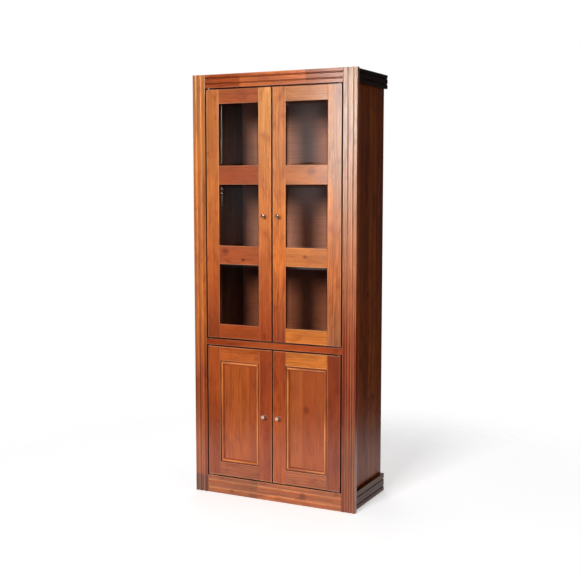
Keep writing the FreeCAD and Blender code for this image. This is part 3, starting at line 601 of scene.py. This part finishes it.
# The catches: moulded brown plastic bodies with magnets, one under the frieze and one under the fixed shelf,
# which hold each pair of doors shut.
CATCH_BROWN = stain(66, 44, 32)
CATCH_BROWN_WORN = stain(84, 58, 42)
CATCH_GRAIN = 900.0
CATCH_CLOUDS = 60.0
catch_plastic = Finish("catch_plastic")
catch_point = catch_plastic.point(*catch_plastic.place())
catch_spark = catch_plastic.noise(catch_point, 2.0, CATCH_GRAIN)
catch_cloud = catch_plastic.noise(catch_point, 2.0, CATCH_CLOUDS)
catch_plastic.shader({
    "Base Color": catch_plastic.blend(catch_cloud, CATCH_BROWN, CATCH_BROWN_WORN),
    "Roughness": catch_plastic.fade(catch_spark, 0.2, 0.8, 0.42, 0.6),
    "Normal": catch_plastic.relief(catch_spark, 0.00005),
})
dress("magnetic_catches", catch_plastic.material)


# The pivots: steel plates let into the edges of the frame and of the doors. A pin on each frame plate
# turns in the door's plate, so that no hinge shows from the front.
dress("frame_pivot_plates", zinc_steel)
for door in ("upper_left_door", "upper_right_door", "lower_left_door", "lower_right_door"):
    dress(door + "_pivot_plates", zinc_steel)


# The upper doors: stiles and rails of stained pine, tenoned together and rounded along the front edges.
# Each has a rail at either end and two more between the three panes.
UPPER_STILES = {
    "left": {
        "hinge": [(0.722, stain(141, 61, 28)), (0.98, stain(180, 91, 41)), (1.33, stain(204, 117, 54)),
                  (1.60, stain(189, 111, 52)), (1.80, stain(191, 113, 54))],
        "meeting": [(0.722, stain(156, 65, 26)), (1.02, stain(190, 99, 48)), (1.38, stain(222, 136, 70)),
                    (1.72, stain(219, 150, 86))],
    },
    "right": {
        "meeting": [(0.722, stain(160, 70, 42)), (1.16, stain(224, 129, 57)), (1.58, stain(201, 123, 63))],
        "hinge": [(0.722, stain(174, 110, 76)), (1.05, stain(222, 129, 70)), (1.26, stain(222, 133, 64)),
                  (1.48, stain(190, 119, 47))],
    },
}
# Painted shade: the upper right door's hinge stile is darkened towards its outer edge.
STILE_PAINTED_SHADE = {"upper_right_door_hinge_stile": ("X", (0.3305,), 0.052, (0.77, 0.75, 0.80, 1))}
UPPER_RAILS = {
    "left": [(0.72, stain(165, 76, 30)), (1.0, stain(163, 81, 43)), (1.4, stain(160, 75, 36)),
             (1.7, stain(161, 80, 34))],
    "right": [(0.72, stain(205, 121, 55)), (1.0, stain(202, 122, 65)), (1.4, stain(184, 107, 52)),
              (1.7, stain(185, 115, 57))],
}
RAIL_KNOTS = {"left": [(-0.145, 1.082, 0.004, 0.85), (-0.235, 1.118, 0.007, 0.3)],
              "right": [(0.19, 1.47, 0.008, 0.1), (0.161, 1.105, 0.004, 0.35)]}
STILE_EDGES = {"hinge": (0.2655, 0.3305), "meeting": (0.00225, 0.06725)}
UPPER_RAIL_EDGES = (0.7235, 0.7885, 1.0588, 1.1438, 1.4142, 1.4992, 1.7695, 1.8345)
DOOR_EDGES = {"upper": (0.7235, 1.8345), "lower": (0.0865, 0.6845)}
# The share of pale wear and painted highlight on the doors' corners.
DOOR_WEAR_HIGHLIGHT = 0.32
RAIL_BENDS = (6.0, 0.06)
RAIL_RINGS = 0.006


def dress_stiles(door, sign, stiles, ends, heart, shaded_lines):
    # heart is that of the tree, off the middle of each stile.
    for stile, stains in stiles.items():
        rims = [sign * rim for rim in STILE_EDGES[stile]]
        node = f"{door}_{stile}_stile"
        dress(node, stained_pine(
            node + "_pine", "Z", "Y", stains, heart=(sum(rims) / 2 + heart[0], heart[1]), mottle=0.8,
            wear_highlight=DOOR_WEAR_HIGHLIGHT, edges=at("X", *rims) + ends, painted_light_bands=STILE_PAINTED_SHADE.get(node), shaded_lines=shaded_lines))


for side, sign in SIDES:
    door = f"upper_{side}_door"
    ends = at("Z", *DOOR_EDGES["upper"])
    dress_stiles(door, sign, UPPER_STILES[side], ends, (0.02, 0.23),
                 at("X", sign * STILE_EDGES["meeting"][0]) + ends)
    pine = stained_pine(
        f"{door}_rail_pine", "X", "Y", UPPER_RAILS[side], "Z", heart=(1.27, 0.30), bends=RAIL_BENDS,
        knots=RAIL_KNOTS[side], ring_gap=RAIL_RINGS, ring_depth=0.6, mottle=0.7, wear_highlight=DOOR_WEAR_HIGHLIGHT,
        edges=at("Z", *UPPER_RAIL_EDGES), shaded_lines=ends)
    for rails in ("end_rails", "mid_rails"):
        dress(f"{door}_{rails}", pine)


# The glass: clear panes with a bevel ground round the front, bedded in the rebates of the doors.
# Light passes straight through; a trace of dust greys them in patches.
GLASS_CLEAR = (0.93, 0.96, 0.95, 1)
GLASS_DUSTY = (0.84, 0.86, 0.85, 1)
GLASS_PASS = (0.95, 0.96, 0.955, 1)
GLASS_IOR = 1.5
DUST_SCALE = 9.0
glass = Finish("bevelled_glass")
glass_smear = glass.noise(glass.point(*glass.place()), 3.0, DUST_SCALE)
glass_shader = glass.shader({
    "Base Color": glass.blend(glass.fade(glass_smear, 0.35, 0.75), GLASS_CLEAR, GLASS_DUSTY),
    "Roughness": 0.0,
    "IOR": GLASS_IOR,
    "Transmission Weight": 1.0,
})
glass_pass = glass.add("BsdfTransparent", GLASS_PASS).outputs[0]
glass_path = glass.add("LightPath").outputs
glass_lit = glass.math("MAXIMUM", glass_path["Is Shadow Ray"], glass_path["Is Diffuse Ray"])
glass_mix = glass.add("MixShader", glass_lit, glass_shader.outputs[0], glass_pass)
glass.links.new(glass_mix.outputs[0], glass.tree.nodes["Material Output"].inputs["Surface"])
OPENING = (0.06725, 0.2655)
PANE_LEVELS = ((0.7885, 1.05883), (1.14383, 1.41417), (1.49917, 1.7695))
GLASS_FRONT = -0.167
GLASS_BACK = -0.163
GLASS_LAP = 0.008
BEVEL_WIDTH = 0.010
BEVEL_DEPTH = 0.0022


def ground_pane(form, low_x, high_x, low_z, high_z):
    # One sheet with four ground facets, crisp where they meet; the rim lies in the rebate.
    def ring(inset, y):
        corners = ((low_x + inset, low_z + inset), (high_x - inset, low_z + inset),
                   (high_x - inset, high_z - inset), (low_x + inset, high_z - inset))
        return [form.verts.new((x, y, z)) for x, z in corners]

    rings = [ring(BEVEL_WIDTH, GLASS_FRONT), ring(-GLASS_LAP, GLASS_FRONT + BEVEL_DEPTH),
             ring(-GLASS_LAP, GLASS_BACK)]
    form.faces.new(rings[0])
    form.faces.new(rings[-1])
    for inner, outer in zip(rings, rings[1:]):
        for step in range(4):
            form.faces.new((inner[step], inner[step - 1], outer[step - 1], outer[step]))


for side, sign in SIDES:
    door = f"upper_{side}_door"
    low_x, high_x = sorted(sign * value for value in OPENING)
    pane_form = bmesh.new()
    for low_z, high_z in PANE_LEVELS:
        ground_pane(pane_form, low_x, high_x, low_z, high_z)
    bmesh.ops.recalc_face_normals(pane_form, faces=pane_form.faces)
    panes = piece(f"{door}_ground_panes", pane_form)
    panes.data.materials.append(glass.material)
    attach(panes, door)
    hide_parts(f"{door}_glass_panes")


# The glazing beads: thin rounded strips of pine, mitred at the corners.
# They run round the back of each pane and hold it in its rebate.
MITRE_GAP = 0.00008
MITRE_CREASE = math.radians(35)
ARC_STEPS = 10


def mitred_lengths(form, lying, rectangle, profile):
    # Four lengths of one profile round a rectangle. profile holds (distance in from the edge, y).
    low_x, low_z, high_x, high_z = rectangle
    for number in range(4):
        upright = number % 2
        ends = []
        for end in (0, 1):
            corner = (number + end) % 4
            ring = []
            for inset, y in profile:
                x = high_x - inset if corner in (1, 2) else low_x + inset
                z = high_z - inset if corner in (2, 3) else low_z + inset
                if upright:
                    z += MITRE_GAP if corner in (0, 1) else -MITRE_GAP
                else:
                    x += MITRE_GAP if corner in (0, 3) else -MITRE_GAP
                ring.append(form.verts.new((x, y, z)))
            ends.append(ring)
        count = len(profile)
        faces = [form.faces.new((ends[0][step], ends[0][(step + 1) % count],
                                 ends[1][(step + 1) % count], ends[1][step])) for step in range(count)]
        faces.append(form.faces.new(ends[0]))
        faces.append(form.faces.new(ends[1]))
        for face in faces:
            face[lying] = 0.0 if upright else 1.0


def mitred_piece(name, rectangles, profile, material):
    form = bmesh.new()
    lying = form.faces.layers.float.new("lying")
    for rectangle in rectangles:
        mitred_lengths(form, lying, rectangle, profile)
    bmesh.ops.recalc_face_normals(form, faces=form.faces)
    for face in form.faces:
        face.smooth = True
    made = piece(name, form)
    made.data.set_sharp_from_angle(angle=MITRE_CREASE)
    made.data.materials.append(material)
    return made


def arc(centre, radius, start, end):
    turns = [start + (end - start) * step / ARC_STEPS for step in range(ARC_STEPS + 1)]
    return [(centre[0] + radius * math.cos(turn), centre[1] + radius * math.sin(turn)) for turn in turns]


BEAD_LAP = 0.010
BEAD_WIDTH = 0.0095
BEAD_ROUND = 0.003
BEAD_FRONT = -0.163
BEAD_BACK = -0.156
BEAD_STAINS = [(0.7, stain(166, 84, 42)), (1.1, stain(176, 92, 46)), (1.46, stain(160, 80, 40))]
STRIP_HEART = (0.1, 0.24)
bead_profile = [(0.0, BEAD_FRONT), (BEAD_WIDTH, BEAD_FRONT)] + arc(
    (BEAD_WIDTH - BEAD_ROUND, BEAD_BACK - BEAD_ROUND), BEAD_ROUND, 0.0, math.pi / 2) + [(0.0, BEAD_BACK)]
for side, sign in SIDES:
    door = f"upper_{side}_door"
    low_x, high_x = sorted(sign * value for value in OPENING)
    bead_pine = stained_pine(f"{door}_bead_pine", "Z", "Y", BEAD_STAINS, heart=STRIP_HEART, turned="lying")
    rectangles = [(low_x - BEAD_LAP, low_z - BEAD_LAP, high_x + BEAD_LAP, high_z + BEAD_LAP)
                  for low_z, high_z in PANE_LEVELS]
    beads = mitred_piece(f"{door}_beads", rectangles, bead_profile, bead_pine)
    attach(beads, door)
    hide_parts(f"{door}_glazing_beads")


# The lower doors: the same tenoned frames, each round one flat panel of upright boards,
# which floats in a groove.
LOWER_STILES = {
    "left": {
        "hinge": [(0.085, stain(152, 72, 35)), (0.36, stain(154, 69, 25)), (0.60, stain(170, 80, 32))],
        "meeting": [(0.085, stain(156, 73, 38)), (0.30, stain(162, 72, 27)), (0.52, stain(152, 65, 26))],
    },
    "right": {
        "meeting": [(0.085, stain(168, 82, 38)), (0.33, stain(173, 82, 31)), (0.56, stain(157, 70, 27))],
        "hinge": [(0.085, stain(146, 70, 40)), (0.29, stain(140, 63, 29)), (0.55, stain(137, 57, 24))],
    },
}
LOWER_RAILS = {
    "left": [(0.08, stain(157, 84, 46)), (0.4, stain(190, 99, 45))],
    "right": [(0.08, stain(166, 92, 56)), (0.4, stain(206, 122, 55))],
}
PANEL_STAVES = {
    "left": [(-0.28, stain(162, 80, 35)), (-0.20, stain(168, 84, 35)), (-0.12, stain(156, 74, 31))],
    "right": [(0.05, stain(168, 86, 41)), (0.145, stain(158, 76, 35)), (0.215, stain(164, 82, 41))],
}
PANEL_KNOTS = {"left": [], "right": [(0.43, 0.165, 0.007, 0.15)]}
LOWER_RAIL_EDGES = (0.0865, 0.1515, 0.6195, 0.6845)
for side, sign in SIDES:
    door = f"lower_{side}_door"
    dress_stiles(door, sign, LOWER_STILES[side], at("Z", *DOOR_EDGES["lower"]), (-0.03, 0.22),
                 at("X", sign * STILE_EDGES["hinge"][1]))
    dress(f"{door}_end_rails", stained_pine(
        f"{door}_rail_pine", "X", "Y", LOWER_RAILS[side], "Z", heart=(0.38, 0.30), bends=RAIL_BENDS,
        ring_gap=RAIL_RINGS, wear_highlight=DOOR_WEAR_HIGHLIGHT, edges=at("Z", *LOWER_RAIL_EDGES)))
    dress(f"{door}_panel", stained_pine(
        f"{door}_panel_pine", "Z", "Y", PANEL_STAVES[side], "X", heart=(sign * 0.17, 0.22),
        knots=PANEL_KNOTS[side], ring_depth=0.5, mottle=0.55))


# The panel mouldings: half-round strips with a small flat at either side, mitred round each lower panel
# and glued to it inside the frame.
MOULDING_BASE_Y = -0.168
MOULDING_FACE_Y = -0.171
MOULDING_FLAT = 0.003
MOULDING_RADIUS = 0.0055
LOWER_OPENING_Z = (0.1515, 0.6195)
moulding_middle = MOULDING_FLAT + MOULDING_RADIUS
moulding_profile = [(0.0, MOULDING_BASE_Y), (0.0, MOULDING_FACE_Y)] + arc(
    (moulding_middle, MOULDING_FACE_Y), MOULDING_RADIUS, math.pi, 2 * math.pi) + [
        (2 * moulding_middle, MOULDING_FACE_Y), (2 * moulding_middle, MOULDING_BASE_Y)]
MOULDING_STAINS = {"left": stain(160, 72, 28), "right": stain(158, 72, 28)}
# The moulding's crest is rubbed pale, partly wear and partly a painted highlight.
MOULDING_CREST_HIGHLIGHT = (-0.1732, -0.1760, stain(226, 146, 84), 0.62)
for side, sign in SIDES:
    door = f"lower_{side}_door"
    low_x, high_x = sorted(sign * value for value in OPENING)
    moulding_pine = stained_pine(f"{door}_moulding_pine", "Z", "Y", [(0.1, MOULDING_STAINS[side])],
                                 heart=STRIP_HEART, crest=MOULDING_CREST_HIGHLIGHT, turned="lying")
    moulding = mitred_piece(f"{door}_moulding", [(low_x, LOWER_OPENING_Z[0], high_x, LOWER_OPENING_Z[1])],
                            moulding_profile, moulding_pine)
    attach(moulding, door)
    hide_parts(f"{door}_panel_moulding")


# The knobs: turned brass, nickel plated and brushed round on the lathe, with a waisted neck and a flat head.
# The lower pair has worn dull. A screw through the meeting stile holds each one.
DOOR_FACE = -0.176
KNOB_X = 0.03475
KNOB_LEVELS = {"upper": 1.279, "lower": 0.3855}
KNOB_DULL = {"upper": (0.10, 0.14), "lower": (0.52, 0.62)}
KNOB_FOOT = 0.0065
KNOB_NECK = 0.0048
KNOB_HEAD = 0.0085
KNOB_EASE = 0.0006
KNOB_SEGMENTS = 64
KNOB_CREASE = math.radians(40)
WELD = 1e-6
NICKEL = stain(220, 196, 178)
NICKEL_DARK = stain(178, 154, 137)
BRUSHING = 5200.0
BRUSHING_DRIFT = 60.0
KNOB_OUT = 0.028
KNOB_FLARE = [(0.0052, 0.0158), (0.0059, 0.0182), (0.0067, 0.0201), (0.0076, 0.0213), (0.0082, 0.0218)]
RIM_BACK = 0.0224
RIM_ROUND = 0.0019
RIM_CENTRE = (KNOB_HEAD - RIM_ROUND, KNOB_OUT - RIM_ROUND)
knob_profile = [(0.0, 0.0), (KNOB_FOOT, 0.0), (KNOB_FOOT, 0.0014), (KNOB_FOOT - KNOB_EASE, 0.002),
                (KNOB_NECK + 0.0006, 0.0040), (KNOB_NECK, 0.0070), (KNOB_NECK + 0.0002, 0.0120)]
knob_profile += KNOB_FLARE + [(KNOB_HEAD, RIM_BACK)] + arc(RIM_CENTRE, RIM_ROUND, 0.0, math.pi / 2)
knob_profile += [(RIM_CENTRE[0] - KNOB_EASE, KNOB_OUT), (0.0, KNOB_OUT)]


def turned_form(profile, centre):
    # Spins a half outline, given as (radius, distance out from the door), round an axis along Y.
    form = bmesh.new()
    outline = [form.verts.new((centre[0] + radius, centre[1] - out, centre[2])) for radius, out in profile]
    edges = [form.edges.new(pair) for pair in zip(outline, outline[1:])]
    bmesh.ops.spin(form, geom=outline + edges, cent=centre, axis=(0, 1, 0), angle=2 * math.pi,
                   steps=KNOB_SEGMENTS)
    bmesh.ops.remove_doubles(form, verts=form.verts, dist=WELD)
    bmesh.ops.recalc_face_normals(form, faces=form.faces)
    for face in form.faces:
        face.smooth = True
    return form


def brushed_nickel(name, x, z, dull):
    finish = Finish(name)
    centred = finish.add("Mapping", finish.add("TexCoord").outputs["Object"], (-x, 0, -z)).outputs[0]
    knob_x, knob_y, knob_z = finish.add("SeparateXYZ", centred).outputs
    brushing = finish.noise(finish.point(
        finish.times(finish.far(knob_x, knob_z), BRUSHING), finish.times(knob_y, BRUSHING),
        finish.times(knob_x, BRUSHING_DRIFT)), 2.0)
    finish.shader({
        "Base Color": finish.blend(finish.fade(brushing, 0.3, 0.75), NICKEL, NICKEL_DARK),
        "Metallic": 1.0,
        "Roughness": finish.fade(brushing, 0.25, 0.75, *dull),
        "Normal": finish.relief(brushing, 0.00001),
    })
    return finish.material


for level, knob_z in KNOB_LEVELS.items():
    for side, sign in SIDES:
        door = f"{level}_{side}_door"
        knob_form = turned_form(knob_profile, (sign * KNOB_X, DOOR_FACE, knob_z))
        nickel = brushed_nickel(door + "_knob_nickel", sign * KNOB_X, knob_z, KNOB_DULL[level])
        knob = piece(door + "_turned_knob", knob_form)
        knob.data.set_sharp_from_angle(angle=KNOB_CREASE)
        knob.data.materials.append(nickel)
        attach(knob, door)
        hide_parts(door + "_knob")


# The strikes: small steel plates on the backs of the meeting stiles.
# The magnets of the catches pull on them when the doors are shut.
for level in KNOB_LEVELS:
    for side in ("left", "right"):
        dress(f"{level}_{side}_door_strike_plate", zinc_steel)


# The screws: zinc-plated steel with cross recesses. Pan heads hold the back and the knobs;
# countersunk heads hold the pivot plates, the catches and the strikes.
SCREW_RECESS_SHARE = 1.15
SCREW_SLOT_SHARE = 0.24
HEAD_SIDES = 28
SHANK_SIDES = 16


def screw_nodes():
    # A head and a shank on every point, turned to face along the point's "outward" direction.
    tree = bpy.data.node_groups.new("cross_head_screws", "GeometryNodeTree")
    tree.interface.new_socket("Points", in_out="INPUT", socket_type="NodeSocketGeometry")
    for name in ("Top Radius", "Under Radius", "Head Height", "Proud", "Shank Radius", "Length"):
        tree.interface.new_socket(name, in_out="INPUT", socket_type="NodeSocketFloat")
    tree.interface.new_socket("Finish", in_out="INPUT", socket_type="NodeSocketMaterial")
    tree.interface.new_socket("Screws", in_out="OUTPUT", socket_type="NodeSocketGeometry")
    given = tree.nodes.new("NodeGroupInput").outputs
    result = tree.nodes.new("NodeGroupOutput")

    def feed(socket, value):
        if isinstance(value, bpy.types.NodeSocket):
            tree.links.new(value, socket)
        else:
            socket.default_value = value

    def add(kind, settings=None, **fields):
        node = tree.nodes.new(kind)
        for name, value in fields.items():
            setattr(node, name, value)
        for name, value in (settings or {}).items():
            feed(node.inputs[name], value)
        return node

    def work_out(operation, first, second):
        node = add("ShaderNodeMath", operation=operation)
        feed(node.inputs[0], first)
        feed(node.inputs[1], second)
        return node.outputs[0]

    def lifted(shape, height):
        offset = add("ShaderNodeCombineXYZ", {"Z": height}).outputs[0]
        return add("GeometryNodeTransform", {"Geometry": shape, "Translation": offset}).outputs[0]

    buried = work_out("SUBTRACT", given["Head Height"], given["Proud"])
    cone = add("GeometryNodeMeshCone", {
        "Vertices": HEAD_SIDES, "Radius Top": given["Top Radius"], "Radius Bottom": given["Under Radius"],
        "Depth": given["Head Height"]})
    head = lifted(cone.outputs["Mesh"], work_out("MULTIPLY", buried, -1.0))
    slot_long = work_out("MULTIPLY", given["Top Radius"], SCREW_RECESS_SHARE)
    slot_thin = work_out("MULTIPLY", given["Top Radius"], SCREW_SLOT_SHARE)
    tools = []
    for width, depth in ((slot_long, slot_thin), (slot_thin, slot_long)):
        size = add("ShaderNodeCombineXYZ", {"X": width, "Y": depth, "Z": given["Head Height"]}).outputs[0]
        tools.append(lifted(add("GeometryNodeMeshCube", {"Size": size}).outputs["Mesh"], given["Proud"]))
    cutter = add("GeometryNodeMeshBoolean", operation="DIFFERENCE")
    tree.links.new(head, cutter.inputs["Mesh 1"])
    for tool in tools:
        tree.links.new(tool, cutter.inputs["Mesh 2"])
    shank_long = work_out("SUBTRACT", given["Length"], buried)
    rod = add("GeometryNodeMeshCylinder", {
        "Vertices": SHANK_SIDES, "Radius": given["Shank Radius"], "Depth": shank_long})
    shank_middle = work_out("MULTIPLY", work_out("ADD", given["Length"], buried), -0.5)
    whole = add("GeometryNodeJoinGeometry")
    tree.links.new(cutter.outputs["Mesh"], whole.inputs[0])
    tree.links.new(lifted(rod.outputs["Mesh"], shank_middle), whole.inputs[0])
    outward = add("GeometryNodeInputNamedAttribute", {"Name": "outward"}, data_type="FLOAT_VECTOR")
    facing = add("FunctionNodeAlignRotationToVector", {"Vector": outward.outputs["Attribute"]}, axis="Z")
    placed = add("GeometryNodeInstanceOnPoints", {"Points": given["Points"], "Instance": whole.outputs[0],
                                                  "Rotation": facing.outputs[0]})
    solid = add("GeometryNodeRealizeInstances", {"Geometry": placed.outputs[0]})
    coated = add("GeometryNodeSetMaterial", {"Geometry": solid.outputs[0], "Material": given["Finish"]})
    tree.links.new(coated.outputs[0], result.inputs[0])
    return tree


screw_tree = screw_nodes()


def screws(form, points, outward, sizes):
    # Adds one kind of screw to a form, at each point.
    seed = bpy.data.meshes.new("screw_points")
    seed.from_pydata(points, [], [])
    ways = seed.attributes.new("outward", "FLOAT_VECTOR", "POINT")
    for number, way in enumerate(outward):
        ways.data[number].vector = way
    host = bpy.data.objects.new("screw_points", seed)
    bpy.context.scene.collection.objects.link(host)
    setter = host.modifiers.new("screws", "NODES")
    setter.node_group = screw_tree
    for item in screw_tree.interface.items_tree:
        if item.in_out == "INPUT" and item.name in sizes:
            setter[item.identifier] = sizes[item.name]
        elif item.in_out == "INPUT" and item.name == "Finish":
            setter[item.identifier] = zinc_steel
    shown = host.evaluated_get(bpy.context.evaluated_depsgraph_get())
    mesh = bpy.data.meshes.new_from_object(shown)
    form.from_mesh(mesh)
    bpy.data.objects.remove(host)


def screw_piece(name, body, node, groups):
    form = bmesh.new()
    for points, outward, sizes in groups:
        screws(form, points, outward, sizes)
    made = piece(name, form)
    made.data.materials.append(zinc_steel)
    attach(made, body)
    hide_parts(node)


PAN_SCREW = {"Top Radius": 0.0028, "Under Radius": 0.0035, "Head Height": 0.002, "Proud": 0.002,
             "Shank Radius": 0.0015, "Length": 0.022}
KNOB_SCREW = {**PAN_SCREW, "Shank Radius": 0.002, "Length": 0.032}
FLAT_SCREW = {"Top Radius": 0.0029, "Under Radius": 0.0015, "Head Height": 0.0014, "Proud": 0.0,
              "Shank Radius": 0.0015, "Length": 0.011}
CATCH_SCREW = {**FLAT_SCREW, "Length": 0.022}
STRIKE_SCREW = {**FLAT_SCREW, "Head Height": 0.0009, "Length": 0.008}
BACK_SCREW_X = 0.355
BACK_SCREW_LOW, BACK_SCREW_HIGH, BACK_SCREW_ROWS = 0.142, 1.822, 5
LEVEL_SCREWS = [(0.1755, 0.073), (0.1755, 0.698)]
BACK_FACE = 0.200
PIVOT_Y = -0.169
PIVOT_SCREW_X = (0.3065, 0.2945)
FRAME_EDGES = ((0.719, 1), (1.839, -1), (0.082, 1), (0.689, -1))
CATCH_UNDERSIDES = (1.825, 0.675)
CATCH_SCREW_X = 0.013
CATCH_MIDDLE_Y = -0.1472
DOOR_BACK = -0.156
STRIKE_FACE = -0.155
STRIKE_X = 0.01275
STRIKE_DROP = 0.005
UP, DOWN, REARWARD = (0, 0, 1), (0, 0, -1), (0, 1, 0)

row_step = (BACK_SCREW_HIGH - BACK_SCREW_LOW) / (BACK_SCREW_ROWS - 1)
back_places = [(BACK_SCREW_X, BACK_SCREW_LOW + row * row_step) for row in range(BACK_SCREW_ROWS)]
back_places += LEVEL_SCREWS
back_points = [(sign * x, BACK_FACE, z) for x, z in back_places for sign in (-1, 1)]
frame_points = [(sign * x, PIVOT_Y, z) for z, _ in FRAME_EDGES for x in PIVOT_SCREW_X for sign in (-1, 1)]
frame_ways = [(0, 0, up) for _, up in FRAME_EDGES for _ in range(2 * len(PIVOT_SCREW_X))]
catch_points = [(sign * CATCH_SCREW_X, CATCH_MIDDLE_Y, z) for z in CATCH_UNDERSIDES for sign in (-1, 1)]
screw_piece("carcass_cross_screws", "carcass", "carcass_screws", [
    (back_points, [REARWARD] * len(back_points), PAN_SCREW),
    (frame_points, frame_ways, FLAT_SCREW),
    (catch_points, [DOWN] * len(catch_points), CATCH_SCREW),
])
for level, (low_z, high_z) in DOOR_EDGES.items():
    for side, sign in SIDES:
        door = f"{level}_{side}_door"
        pivot_points = [(sign * x, PIVOT_Y, z) for z in (low_z, high_z) for x in PIVOT_SCREW_X]
        screw_piece(door + "_cross_screws", door, door + "_screws", [
            (pivot_points, [DOWN, DOWN, UP, UP], FLAT_SCREW),
            ([(sign * KNOB_X, DOOR_BACK, KNOB_LEVELS[level])], [REARWARD], KNOB_SCREW),
            ([(sign * STRIKE_X, STRIKE_FACE, high_z - STRIKE_DROP)], [REARWARD], STRIKE_SCREW),
        ])
